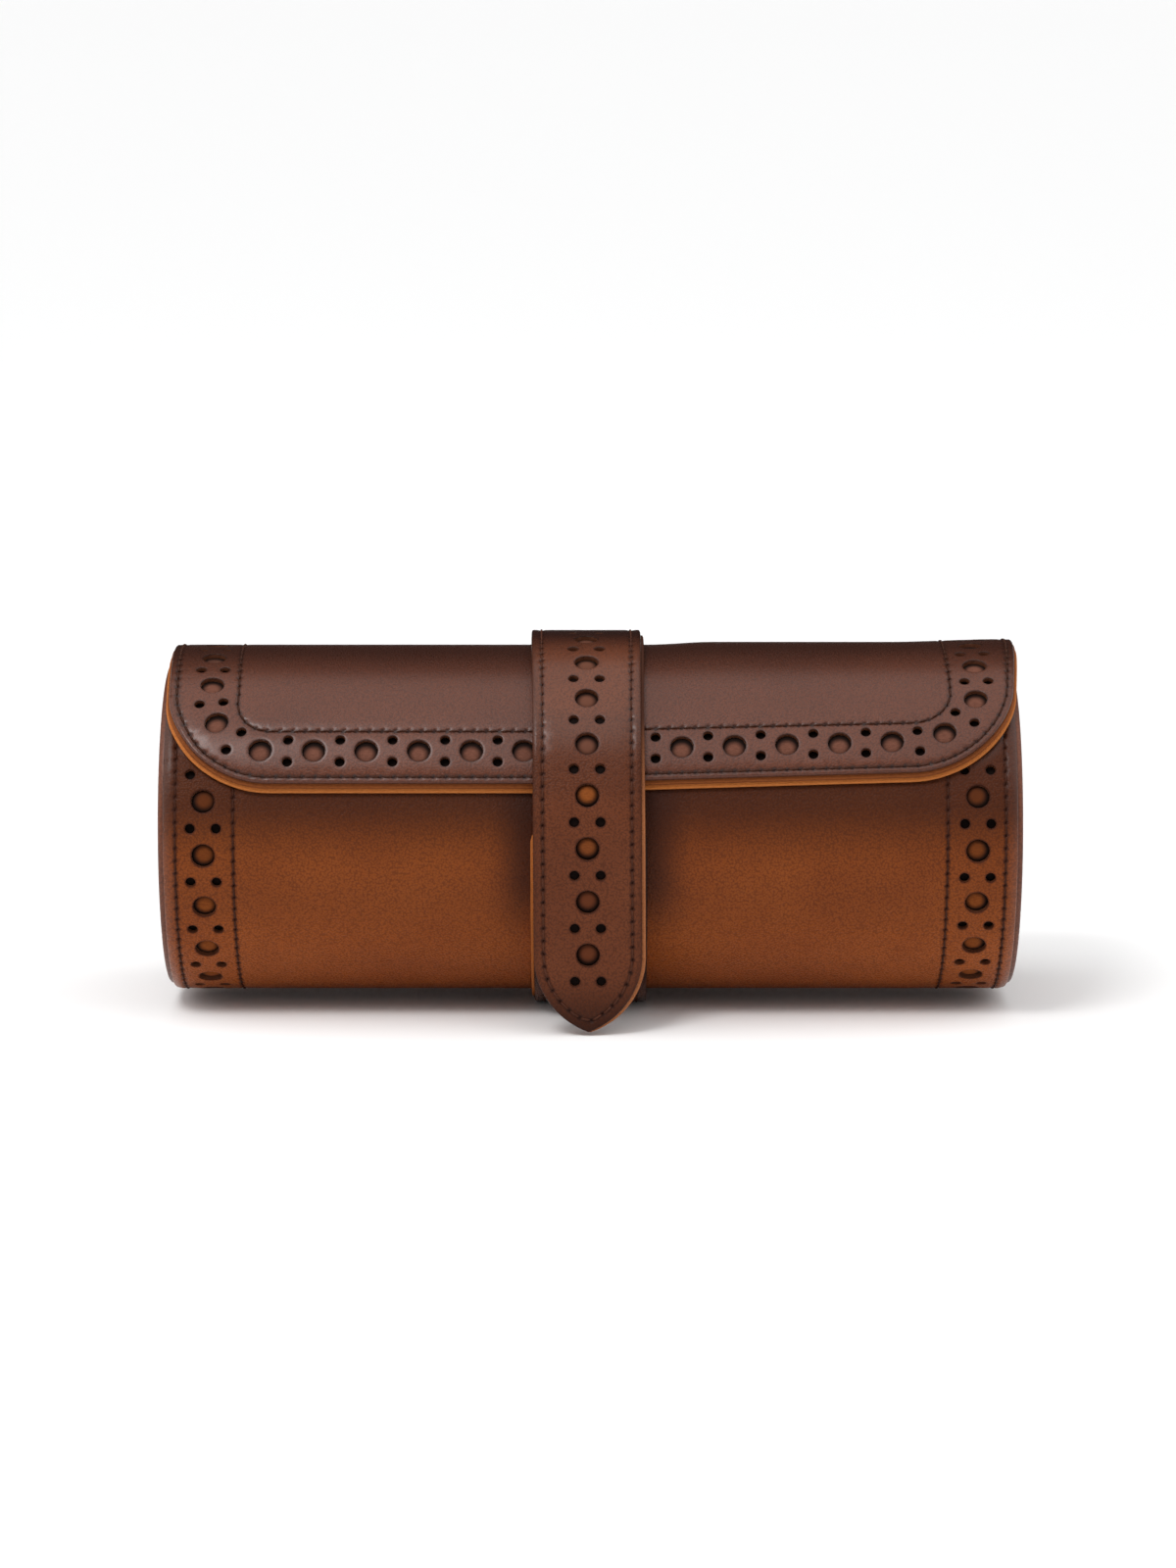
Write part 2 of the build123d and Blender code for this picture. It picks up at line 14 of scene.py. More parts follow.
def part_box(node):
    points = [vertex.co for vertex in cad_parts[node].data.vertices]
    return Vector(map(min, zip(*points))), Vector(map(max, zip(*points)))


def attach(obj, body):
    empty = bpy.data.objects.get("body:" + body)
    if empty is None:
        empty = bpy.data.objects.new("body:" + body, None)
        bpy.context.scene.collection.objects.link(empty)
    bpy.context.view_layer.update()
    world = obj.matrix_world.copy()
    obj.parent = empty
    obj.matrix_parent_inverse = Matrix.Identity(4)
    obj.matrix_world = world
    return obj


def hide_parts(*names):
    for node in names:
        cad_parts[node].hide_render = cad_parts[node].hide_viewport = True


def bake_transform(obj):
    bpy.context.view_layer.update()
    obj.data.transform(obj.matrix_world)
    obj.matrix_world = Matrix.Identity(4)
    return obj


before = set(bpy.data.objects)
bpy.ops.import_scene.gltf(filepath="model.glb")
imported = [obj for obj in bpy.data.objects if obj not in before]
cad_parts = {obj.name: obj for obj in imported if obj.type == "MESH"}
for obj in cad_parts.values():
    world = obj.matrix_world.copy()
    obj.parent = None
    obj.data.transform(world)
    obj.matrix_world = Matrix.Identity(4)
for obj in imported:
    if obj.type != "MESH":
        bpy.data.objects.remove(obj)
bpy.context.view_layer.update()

# Studio: a wide pale floor, surroundings that are palest overhead and pale at both sides, and one
# soft lamp high in front. The camera stands where the photograph was taken, square to the roll.
FRONT_RADIUS = 0.042
ROLL_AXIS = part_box("case_outer_leather")[0].z + FRONT_RADIUS
CAMERA_DISTANCE = 1.2
CAMERA_RISE = math.radians(9.5)
CAMERA_AIM = 0.0098  # above the roll's axis
CAMERA_SIDE = -0.0006
PHOTO_FOCAL = 4820.0  # in pixels of the photograph's height
PHOTO_HEIGHT = 1600.0
SENSOR = 36.0
FLOOR_RADIUS = 400.0
LAMP_PLACE = Vector((-0.45, -0.8, 1.2))
LAMP_SIZE = 0.4
LAMP_POWER = 8.0
SKY_STOPS = ((0.0, 0.5), (0.2, 0.5), (0.24, 1.6), (0.64, 1.6), (0.68, 0.06), (1.0, 0.06))
SKY_SIDES = 0.9
SKY_SIDE_RANGE = (0.55, 0.8)

look_up = Vector((0, math.sin(CAMERA_RISE), math.cos(CAMERA_RISE)))
look_back = Vector((0, -math.cos(CAMERA_RISE), math.sin(CAMERA_RISE)))
camera_data = bpy.data.cameras.new("camera")
camera_data.sensor_fit = "VERTICAL"
camera_data.sensor_height = SENSOR
camera_data.lens = SENSOR * PHOTO_FOCAL / PHOTO_HEIGHT
camera_data.clip_end = 4 * FLOOR_RADIUS
camera = bpy.data.objects.new("camera", camera_data)
bpy.context.scene.collection.objects.link(camera)
aim = Vector((CAMERA_SIDE, 0, ROLL_AXIS)) + look_up * CAMERA_AIM
camera.location = aim + look_back * CAMERA_DISTANCE
camera.rotation_euler = (math.pi / 2 - CAMERA_RISE, 0, 0)
bpy.context.scene.camera = camera
bpy.context.scene.view_settings.view_transform = "Standard"


def put(tree, socket, value):
    """Put a value or another node's socket into an input."""
    if isinstance(value, bpy.types.NodeSocket):
        tree.links.new(value, socket)
    else:
        socket.default_value = value


def node(tree, kind, settings=None, **inputs):
    """Add a shader node. Each input is a value or another node's socket, named with _ for a blank."""
    made = tree.nodes.new(kind)
    for name, value in (settings or {}).items():
        setattr(made, name, value)
    for name, value in inputs.items():
        put(tree, made.inputs[name.replace("_", " ")], value)
    return made


def calc(tree, operation, first, second=0.0, third=0.0, clamp=False):
    """Add a Math node and return its result."""
    made = node(tree, "ShaderNodeMath", {"operation": operation, "use_clamp": clamp})
    for socket, value in zip(made.inputs, (first, second, third)):
        put(tree, socket, value)
    return made.outputs[0]


def from_range(tree, value, low, high, soft=False, **ends):
    """Map a value between two ends to a share from 0 to 1, or to the ends given."""
    settings = {"interpolation_type": "SMOOTHSTEP"} if soft else None
    made = node(tree, "ShaderNodeMapRange", settings, Value=value, From_Min=low, From_Max=high, **ends)
    return made.outputs["Result"]


def mix_colours(tree, share, first, second, blend="MIX"):
    """Mix two colours by a share and return the result."""
    made = node(tree, "ShaderNodeMix", {"data_type": "RGBA", "blend_type": blend})
    for place, value in ((0, share), (6, first), (7, second)):
        put(tree, made.inputs[place], (*value, 1.0) if isinstance(value, tuple) else value)
    return made.outputs[2]


def colour(*shade):
    """Linear colour of a shade given as it looks on a screen, 0 to 255."""
    return tuple(((c / 255 + 0.055) / 1.055) ** 2.4 if c > 10 else c / 255 / 12.92 for c in shade)


world = bpy.data.worlds.new("surroundings")
world.use_nodes = True
bpy.context.scene.world = world
sky = world.node_tree
sky_way = node(sky, "ShaderNodeSeparateXYZ", Vector=node(sky, "ShaderNodeTexCoord").outputs["Generated"])
sky_front = calc(sky, "MULTIPLY", sky_way.outputs["Y"], -1.0)
sky_turn = calc(sky, "ARCTAN2", sky_way.outputs["Z"], sky_front)
sky_ramp = node(sky, "ShaderNodeValToRGB", Fac=calc(sky, "DIVIDE", sky_turn, math.pi))
while len(sky_ramp.color_ramp.elements) < len(SKY_STOPS):
    sky_ramp.color_ramp.elements.new(0.5)
for stop, (place, strength) in zip(sky_ramp.color_ramp.elements, SKY_STOPS):
    stop.position = place
    stop.color = (strength, strength, strength, 1)
sky_aside = calc(sky, "ABSOLUTE", sky_way.outputs["X"])
sky_side = from_range(sky, sky_aside, *SKY_SIDE_RANGE, soft=True, To_Max=SKY_SIDES)
sky_both = mix_colours(sky, 1.0, sky_ramp.outputs["Color"], sky_side, "LIGHTEN")
sky_seen = node(sky, "ShaderNodeLightPath").outputs["Is Camera Ray"]
sky_both = mix_colours(sky, sky_seen, sky_both, (1.0, 1.0, 1.0))
sky.links.new(sky_both, sky.nodes["Background"].inputs["Color"])

lamp_data = bpy.data.lights.new("key_lamp", "AREA")
lamp_data.shape = "SQUARE"
lamp_data.size = LAMP_SIZE
lamp_data.energy = LAMP_POWER
lamp = bpy.data.objects.new("key_lamp", lamp_data)
bpy.context.scene.collection.objects.link(lamp)
lamp.location = LAMP_PLACE
lamp.rotation_euler = (Vector((0, 0, ROLL_AXIS)) - LAMP_PLACE).to_track_quat("-Z", "Y").to_euler()


def new_material(name):
    """A new material, with its node tree and its shader."""
    made = bpy.data.materials.new(name)
    made.use_nodes = True
    return made, made.node_tree, made.node_tree.nodes["Principled BSDF"]


def set_inputs(shader, **values):
    """Set constants of a shader, named with _ for a blank."""
    for name, value in values.items():
        shader.inputs[name.replace("_", " ")].default_value = value


def new_piece(name, points, faces):
    """A new smooth mesh object from points and faces, its faces turned outwards."""
    mesh = bpy.data.meshes.new(name)
    mesh.from_pydata([tuple(p) for p in points], [], [tuple(f) for f in faces])
    whole = bmesh.new()
    whole.from_mesh(mesh)
    bmesh.ops.recalc_face_normals(whole, faces=whole.faces)
    whole.to_mesh(mesh)
    whole.free()
    mesh.shade_smooth()
    made = bpy.data.objects.new(name, mesh)
    bpy.context.scene.collection.objects.link(made)
    return made


floor_turns = np.linspace(0, 2 * math.pi, 96, False)
floor_points = [(FLOOR_RADIUS * math.cos(turn), FLOOR_RADIUS * math.sin(turn), 0) for turn in floor_turns]
floor = new_piece("floor", floor_points, [range(len(floor_points))])
floor_paint, floor_tree, floor_shader = new_material("floor_paint")
floor_noise = node(floor_tree, "ShaderNodeTexNoise", Scale=3.0, Detail=2.0)
floor_shade = mix_colours(floor_tree, floor_noise.outputs["Fac"], (0.9, 0.9, 0.9), (0.93, 0.93, 0.93))
floor_tree.links.new(floor_shade, floor_shader.inputs["Base Color"])
set_inputs(floor_shader, Roughness=0.9)
floor.data.materials.append(floor_paint)

# Stiff boards: brown pasteboard in the tray's wall and in both round ends. They are glued
# between the leathers, so only their cut edges could ever show. The model's own shapes stay.


def new_group(name, inputs, outputs):
    """A new shader node group with its input and output nodes."""
    group = bpy.data.node_groups.new(name, "ShaderNodeTree")
    for title, kind, value in inputs:
        group.interface.new_socket(title, in_out="INPUT", socket_type=kind).default_value = value
    for title, kind in outputs:
        group.interface.new_socket(title, in_out="OUTPUT", socket_type=kind)
    return group, group.nodes.new("NodeGroupInput").outputs, group.nodes.new("NodeGroupOutput").inputs


def place_group(tree, group, **inputs):
    """Place a node group in a material and return its outputs."""
    return node(tree, "ShaderNodeGroup", {"node_tree": group}, **inputs).outputs


def scaled(tree, where, size):
    """A place counted in steps of a size."""
    steps = calc(tree, "DIVIDE", 1.0, size)
    made = node(tree, "ShaderNodeVectorMath", {"operation": "SCALE"}, Vector=where, Scale=steps)
    return made.outputs["Vector"]


def noise(tree, where, scale, detail, **more):
    """Add a noise texture and return its value."""
    return node(tree, "ShaderNodeTexNoise", Vector=where, Scale=scale, Detail=detail, **more).outputs["Fac"]


# Short fibres, pressed flat: cardboard, the cut edges of leather and the flesh side
fibre, fibre_in, fibre_out = new_group(
    "fibre",
    [("Where", "NodeSocketVector", (0, 0, 0)), ("Length", "NodeSocketFloat", 0.002)],
    [("Tone", "NodeSocketFloat"), ("Height", "NodeSocketFloat")],
)
fibre_place = scaled(fibre, fibre_in["Where"], fibre_in["Length"])
fibre_flat = node(fibre, "ShaderNodeVectorMath", {"operation": "MULTIPLY"}, Vector=fibre_place)
fibre_flat.inputs[1].default_value = (1.0, 3.5, 6.0)
fibre_long = noise(fibre, fibre_flat.outputs["Vector"], 1.0, 4.0, Roughness=0.65)
fibre_fine = noise(fibre, fibre_place, 7.0, 2.0)
fibre_both = calc(fibre, "MULTIPLY_ADD", fibre_fine, 0.45, calc(fibre, "MULTIPLY", fibre_long, 0.8))
fibre.links.new(fibre_both, fibre_out["Height"])
fibre.links.new(from_range(fibre, fibre_both, 0.42, 0.82), fibre_out["Tone"])


def stored(tree, title):
    """What each point of a piece has stored under a title."""
    return node(tree, "ShaderNodeAttribute", {"attribute_name": title}).outputs["Vector"]


def dress(tree, shader, shade, height, depth, rough, specular, strength=0.6):
    """Give a shader its colour, its relief and its gloss."""
    tree.links.new(shade, shader.inputs["Base Color"])
    bump = node(tree, "ShaderNodeBump", Strength=strength, Distance=depth, Height=height)
    tree.links.new(bump.outputs["Normal"], shader.inputs["Normal"])
    put(tree, shader.inputs["Roughness"], rough)
    set_inputs(shader, Specular_IOR_Level=specular)


def to_zones(tree, tone, where, zones):
    """Fade a tone along a sheet: each zone is a colour, and where its fade is full and gone."""
    place = node(tree, "ShaderNodeSeparateXYZ", Vector=where).outputs["Y"]
    for zone, full, gone in zones:
        tone = mix_colours(tree, from_range(tree, place, gone, full), tone, zone)
    return tone


def fibre_material(name, dark, light, length, depth, where="Object", rough=0.85, zones=()):
    """Pasteboard, cut leather edges and flesh sides, all of short fibres."""
    made, tree, shader = new_material(name)
    place = node(tree, "ShaderNodeTexCoord").outputs["Object"] if where == "Object" else stored(tree, where)
    strands = place_group(tree, fibre, Where=place, Length=length)
    shade = to_zones(tree, mix_colours(tree, strands["Tone"], dark, light), place, zones)
    dress(tree, shader, shade, strands["Height"], depth, rough, 0.15)
    return made


def finish_piece(piece, slot_name, *materials):
    """Give a piece its materials; its slot name is not used."""
    if piece.data.materials:
        piece.data.materials.clear()  # this also forgets which face has which, so not on a new piece
    for material in materials:
        piece.data.materials.append(material)


pasteboard = fibre_material("pasteboard", colour(66, 42, 27), colour(92, 62, 42), 0.0015, 0.0001)
for board in ("case_board", "end_board_left", "end_board_right"):
    finish_piece(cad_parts[board], "board", pasteboard)

# Tan backing: a thin sheet of undyed leather, glued over the board. It shows in every large punched
# hole of the leather above it, where the punching and gluing leave it slightly domed.
WRAP_RISE = 0.0020008
WRAP_JOIN = 315.0
BACK_RADIUS = FRONT_RADIUS + WRAP_RISE
FRONT_CENTRE = (0.0, ROLL_AXIS)
WRAP_TURN = math.radians(WRAP_JOIN)
BACK_CENTRE = (-WRAP_RISE * math.cos(WRAP_TURN), ROLL_AXIS - WRAP_RISE * math.sin(WRAP_TURN))
LEATHER = 0.0012
BACKING = 0.0006
LIP_ANGLE = 148.0
BODY_TOP_ANGLE = 389.0  # the body leather ends here, under the edge of the flap's leather
BODY_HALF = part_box("case_outer_leather")[1].x
BODY_ARCS = (
    (FRONT_CENTRE, FRONT_RADIUS, LIP_ANGLE, WRAP_JOIN),
    (BACK_CENTRE, BACK_RADIUS, WRAP_JOIN, BODY_TOP_ANGLE),
)
LARGE_HOLE = 0.00285
SMALL_HOLE = 0.0012
BAND_INSET = 0.0099
BAND_PITCH = 18.45
BAND_FIRST = 162.9
BAND_PAIR = 0.0032
BAND_CLEAR = 0.007  # from the last hole to the leather's upper end
STITCH = 0.0032
DOME = 0.0005
RIM_SHADE = 0.0018
RIGHT_BAND_UP = 0.0012  # the right band was punched a little higher than the left one


def on_arcs(arcs, along, lift):
    """Y and Z at distances along a run of arcs, lifted off it; it runs straight on at its ends."""
    y = np.zeros(len(along))
    z = np.zeros(len(along))
    start = 0.0
    for turn, ((centre_y, centre_z), radius, first, last) in enumerate(arcs):
        length = radius * math.radians(last - first)
        here = np.ones(len(along), bool) if turn == 0 else along >= start
        reach = np.clip(along[here] - start, 0 if turn else -radius, length)
        angle = np.radians(first) + reach / radius
        past = np.maximum(along[here] - start - length, 0)
        y[here] = centre_y + (radius + lift[here]) * np.cos(angle) - past * np.sin(angle)
        z[here] = centre_z + (radius + lift[here]) * np.sin(angle) + past * np.cos(angle)
        start += length
    return y, z


def along_body(angle):
    """Distance along the body leather from its lip to an angle in the end view."""
    front = FRONT_RADIUS * math.radians(min(angle, WRAP_JOIN) - LIP_ANGLE)
    return front + BACK_RADIUS * math.radians(max(angle - WRAP_JOIN, 0))


LEAST_RADIUS = 0.00005
SMALL_ROUND = 0.0006
OUTLINE_STEP = 0.0016


def rounded_outline(corners):
    """Outline of a sheet in its flat pattern, from its corners and their radii, run anticlockwise.

    The result is a function of how far inside the sheet's edge the line runs. It always returns
    as many points, so that lines at two distances can be joined point by point.
    """
    spots = np.array([corner[:2] for corner in corners], float)
    out_of = np.roll(spots, -1, axis=0) - spots
    lengths = np.hypot(*out_of.T)
    out_of /= lengths[:, None]
    into = np.roll(out_of, 1, axis=0)
    turns = np.arctan2(into[:, 0] * out_of[:, 1] - into[:, 1] * out_of[:, 0], (into * out_of).sum(1))
    radii = [corner[2] for corner in corners]
    cuts = [radius * math.tan(abs(turn) / 2) for radius, turn in zip(radii, turns)]
    arc_steps = [max(3, math.ceil(radius * abs(turn) / OUTLINE_STEP)) for radius, turn in zip(radii, turns)]
    straights = lengths - cuts - np.roll(cuts, -1)
    line_steps = [max(1, math.ceil(straight / OUTLINE_STEP)) for straight in straights]

    def outline(inset):
        arcs = []
        for spot, a, b, turn, rounding, steps in zip(spots, into, out_of, turns, radii, arc_steps):
            left_a, left_b = np.array([-a[1], a[0]]), np.array([-b[1], b[0]])
            moved = spot + inset * (left_a + left_b) / (1 + left_a @ left_b)
            bend = math.copysign(1, turn)
            radius = max(rounding - bend * inset, LEAST_RADIUS)
            begin = moved - a * radius * math.tan(abs(turn) / 2)
            centre = begin + left_a * bend * radius
            first = math.atan2(begin[1] - centre[1], begin[0] - centre[0])
            angles = first + np.linspace(0, turn, steps + 1)
            arcs.append(centre + radius * np.column_stack([np.cos(angles), np.sin(angles)]))
        points = []
        for arc, following, steps in zip(arcs, arcs[1:] + arcs[:1], line_steps):
            shares = np.linspace(0, 1, steps + 1)[1:-1, None]
            points += [arc, arc[-1] + (following[0] - arc[-1]) * shares]
        return np.vstack(points)
    return outline


def rectangle(half, near, far, near_round=SMALL_ROUND, far_round=SMALL_ROUND):
    """Outline of a rectangular sheet with rounded corners at its near and far ends."""
    return rounded_outline([
        (-half, near, near_round), (half, near, near_round), (half, far, far_round), (-half, far, far_round),
    ])


def even_steps(points, step):
    """Points at even steps along a line through some points."""
    lengths = np.hypot(*np.diff(points, axis=0).T)
    run = np.concatenate([[0], np.cumsum(lengths)])
    places = np.linspace(0, run[-1], max(int(round(run[-1] / step)), 1) + 1)
    return np.column_stack([np.interp(places, run, points[:, 0]), np.interp(places, run, points[:, 1])])


def least_distance(points, others):
    """Distance from each point to the nearest of the others, in the flat pattern."""
    if len(others) == 0:
        return np.full(len(points), 1.0)
    tree = kdtree.KDTree(len(others))
    for index, (x, along) in enumerate(others):
        tree.insert((x, along, 0), index)
    tree.balance()
    return np.array([tree.find((x, along, 0))[2] for x, along in points])


def is_inside(points, loop):
    """Which points lie inside a closed loop."""
    odd = np.zeros(len(points), bool)
    x, along = points.T
    for (ax, ay), (bx, by) in zip(loop, np.roll(loop, -1, axis=0)):
        if ay != by:
            odd ^= ((ay > along) != (by > along)) & (x < (bx - ax) * (along - ay) / (by - ay) + ax)
    return odd


def circle(x, along, radius, count, endpoint=False):
    """Points round a spot of the flat pattern."""
    turn = np.linspace(0, 2 * math.pi, count, endpoint=endpoint)
    return np.column_stack([x + radius * np.cos(turn), along + radius * np.sin(turn)])


ROW_SPACING = 0.87  # of the spacing along a row, for nearly even triangles
BESIDE_SEAM = (-0.0011, -0.00045, 0.0, 0.00045, 0.0011)
SEAM_CLEAR = 0.0009
HOLE_CLEAR = 0.0002
RING_POINTS = 20
WITHIN_HOLE = 0.97  # of its radius, as its sides are straight


def spread(outline, holes, rows, spacing, margin):
    """Free points of a sheet's flat pattern: finer beside the seams, and clear of edges and holes.

    A ring of them round each hole keeps its darkened rim, partly painted shade, apart from those of the next
    holes.
    """
    loop = outline(margin)
    low, high = loop.min(0), loop.max(0)
    points = []
    for step, along in enumerate(np.arange(low[1], high[1], spacing * ROW_SPACING)):
        shift = spacing / 2 * (step % 2)
        points += [(x, along) for x in np.arange(low[0] + shift, high[0], spacing)]
    points = np.array(points)
    seam_points = []
    for row in rows:
        ahead = np.gradient(row, axis=0)
        ahead /= np.hypot(*ahead.T)[:, None]
        across = np.column_stack([-ahead[:, 1], ahead[:, 0]])
        seam_points += [row + across * offset for offset in BESIDE_SEAM]
    if seam_points:
        seam_points = np.vstack(seam_points)
        points = points[least_distance(points, seam_points) > SEAM_CLEAR]
        points = np.vstack([seam_points, points])
    points = points[is_inside(points, loop)]
    rings = []
    for x, along, radius in holes:
        reach = radius + margin
        points = points[np.hypot(points[:, 0] - x, points[:, 1] - along) > reach + HOLE_CLEAR]
        rings.append(circle(x, along, reach, RING_POINTS))
    return np.vstack([points, *rings])


def triangles(points, loops, holes):
    """Faces of a flat pattern: inside its first loop, and outside the holes of the others."""
    edges = [pair for loop in loops for pair in zip(loop.tolist(), np.roll(loop, -1).tolist())]
    flat = [Vector((float(x), float(along))) for x, along in points]
    _, _, faces, origins, _, _ = geometry.delaunay_2d_cdt(flat, edges, [], 0, 1e-7)
    source = np.array([o[0] if o else -1 for o in origins])
    corners = source[np.array(faces)]
    corners = corners[(corners >= 0).all(1)]
    middle = points[corners].mean(1)
    kept = is_inside(middle, points[loops[0]])
    for x, along, radius in holes:
        kept &= np.hypot(middle[:, 0] - x, middle[:, 1] - along) > radius * WITHIN_HOLE
    return corners[kept].tolist()


EDGE_SHARES = (0.0, 0.2, 0.55, 1.0)
EDGE_DROPS = tuple(1 - math.sqrt(1 - (1 - share) ** 2) for share in EDGE_SHARES)
LARGE_SIDES = 28
SMALL_SIDES = 16
UPPER_CLEAR = 0.0004  # from the rounded upper edge to the free points
UNDER_CLEAR = 0.0012  # and from the lower one
GROOVE_WIDTH = 0.0006
NEEDLE_WIDTH = 0.0004
NEEDLE_HOLE = 0.00045
WELT_PLACE = 0.0008  # inside the edge
WELT_WIDTH = 0.0005
SHARP = math.radians(50)


def store(piece, title, values):
    """Store a vector for each point of a piece."""
    attribute = piece.data.attributes.new(title, "FLOAT_VECTOR", "POINT")
    attribute.data.foreach_set("vector", values.astype(np.float32).ravel())


def bump_of(distance, width):
    """A soft ridge or groove of a width, at a distance from its middle line."""
    return np.exp(-((distance / width) ** 2))


def bent(arcs, floor=None):
    """Place of a flat pattern on a run of arcs; nothing goes below the floor, if one is given."""
    def place(x, along, lift):
        y, z = on_arcs(arcs, along, lift)
        return np.column_stack([x, y, z if floor is None else np.maximum(z, floor)])
    return place


def cut_sheet(name, place, outline, top, bottom, holes=(), rows=(), spacing=0.0024, edge=0.0004,
              rim=0.00025, under_edge=0.0, relief=None, under_relief=None, groove=0.00022,
              needle=0.0005, welt=0.0):
    """A sheet: cut flat, punched, pressed along its seams and put in its place.

    top and bottom are its faces' heights in that place. edge rounds its upper edge, under_edge its
    lower one and rim its holes. welt is how far it swells between its edge and the outer seam. Its
    first material is the face, the second the cut edge and the third the underside.
    """
    base, inner = outline(0.0), outline(edge)
    rings = [(base + (inner - base) * share, -edge * drop) for share, drop in zip(EDGE_SHARES, EDGE_DROPS)]
    hole_starts = []
    for x, along, radius in holes:
        count = SMALL_SIDES if radius == SMALL_HOLE else LARGE_SIDES
        hole_starts.append((sum(len(ring) for ring, _ in rings), count))
        for share, drop in zip(EDGE_SHARES, EDGE_DROPS):
            rings.append((circle(x, along, radius + rim * share, count), -rim * drop))
    free = spread(outline, holes, rows, spacing, edge + UPPER_CLEAR)
    flat = np.vstack([ring for ring, _ in rings] + [free])
    fall = np.concatenate([np.full(len(ring), drop) for ring, drop in rings] + [np.zeros(len(free))])
    loops = [np.arange(len(base))] + [np.arange(start, start + count) for start, count in hole_starts]
    top_faces = triangles(flat, loops, holes)
    lift = top + fall
    if relief:
        lift = lift + relief(flat[:, 0], flat[:, 1])
    from_seam = np.full(len(flat), 1.0)
    from_hole = np.full(len(flat), 1.0)
    if len(rows) and needle:
        from_seam = least_distance(flat, np.vstack(rows))
        from_needle = least_distance(flat, np.vstack([row[::4] for row in rows]))
        lift = lift - groove * bump_of(from_seam, GROOVE_WIDTH)
        lift = lift - needle * bump_of(from_needle, NEEDLE_WIDTH)
        # Needle holes darken with the hole rims, partly as painted shade
        from_hole = from_needle - NEEDLE_HOLE
    for x, along, radius in holes:
        from_hole = np.minimum(from_hole, np.hypot(flat[:, 0] - x, flat[:, 1] - along) - radius)
    from_edge = least_distance(flat, base)
    lift = lift + welt * bump_of(from_edge - WELT_PLACE, WELT_WIDTH)

    under_rings = [(base, 0.0)]
    if under_edge:
        pulled_in = outline(under_edge) - base
        under_rings = [
            (base + pulled_in * share, under_edge * drop) for share, drop in zip(EDGE_SHARES, EDGE_DROPS)
        ]
    edge_rings = len(under_rings)
    under_rings += [(rings[len(EDGE_SHARES) * (k + 1)][0], 0.0) for k in range(len(holes))]
    under_rings.append((spread(outline, holes, (), 2 * spacing, under_edge + UNDER_CLEAR), 0.0))
    under = np.vstack([ring for ring, _ in under_rings])
    under_lift = np.concatenate([np.full(len(ring), bottom + rise) for ring, rise in under_rings])
    if under_relief:
        under_lift = under_lift + under_relief(under[:, 0], under[:, 1])
    under_loops = [np.arange(len(base))]
    start = edge_rings * len(base)
    for _, count in hole_starts:
        under_loops.append(np.arange(start, start + count))
        start += count
    offset = len(flat)
    under_faces = triangles(under, under_loops, holes)
    under_faces = [[corner + offset for corner in face[::-1]] for face in under_faces]
    walls = []
    for number, (loop, under_loop) in enumerate(zip(loops, under_loops)):
        for a, b, c, d in zip(loop, np.roll(loop, -1), np.roll(under_loop, -1), under_loop):
            quad = (int(a), int(d) + offset, int(c) + offset, int(b))
            walls.append(quad if number == 0 else quad[::-1])

    everything = np.vstack([flat, under])
    heights = np.concatenate([lift, under_lift])
    faces = top_faces + walls + under_faces
    made = new_piece(name, place(everything[:, 0], everything[:, 1], heights), faces)
    kinds = np.repeat([0, 1, 2], [len(top_faces), len(walls), len(under_faces)]).astype(np.int32)
    made.data.polygons.foreach_set("material_index", kinds)
    far = np.ones(len(under))
    near = np.column_stack([
        np.concatenate([from_edge, least_distance(under, base)]), np.concatenate([from_seam, far]),
        np.concatenate([from_hole, far]),
    ])
    store(made, "flat", np.column_stack([everything, heights]))
    store(made, "near", near)
    made.data.set_sharp_from_angle(angle=SHARP)
    return made


body_large = []
body_small = []
for side in (-1, 1):
    band_x = side * (BODY_HALF - BAND_INSET)
    half_step = -1
    while True:
        hole_along = along_body(BAND_FIRST + half_step * BAND_PITCH / 2)
        hole_along -= RIGHT_BAND_UP if side > 0 else 0
        if hole_along > along_body(BODY_TOP_ANGLE) - BAND_CLEAR:
            break
        if half_step % 2 == 0:
            body_large.append((band_x, hole_along, LARGE_HOLE))
        else:
            body_small += [(band_x + offset, hole_along, SMALL_HOLE) for offset in (-BAND_PAIR, BAND_PAIR)]
        half_step += 1


PIERCED = 1.15  # of a small hole's radius, where the cut into the backing ends


def floors(large, small, height, depth):
    """Relief of a backing: it swells a little into each large hole, and each small one cuts into it."""
    def relief(x, along):
        rise = np.zeros(len(x))
        for hole_x, hole_along, radius in large:
            share = np.hypot(x - hole_x, along - hole_along) / radius
            rise = np.maximum(rise, height * np.clip(1 - share ** 2, 0, 1) ** 0.75)
        for hole_x, hole_along, radius in small:
            share = np.hypot(x - hole_x, along - hole_along) / radius
            rise -= depth * np.clip((PIERCED - share) / (PIERCED - 1), 0, 1)
        return rise
    return relief


def floor_rings(large, small):
    """Rings of extra points, so that the domes and the small holes come out round."""
    rings = []
    for holes, shares in ((large, (0.35, 0.65, 0.88, 1.0)), (small, (0.2, 0.6, 1.0, PIERCED))):
        for x, along, radius in holes:
            rings += [circle(x, along, radius * share, RING_POINTS + 2, True) for share in shares]
    return rings


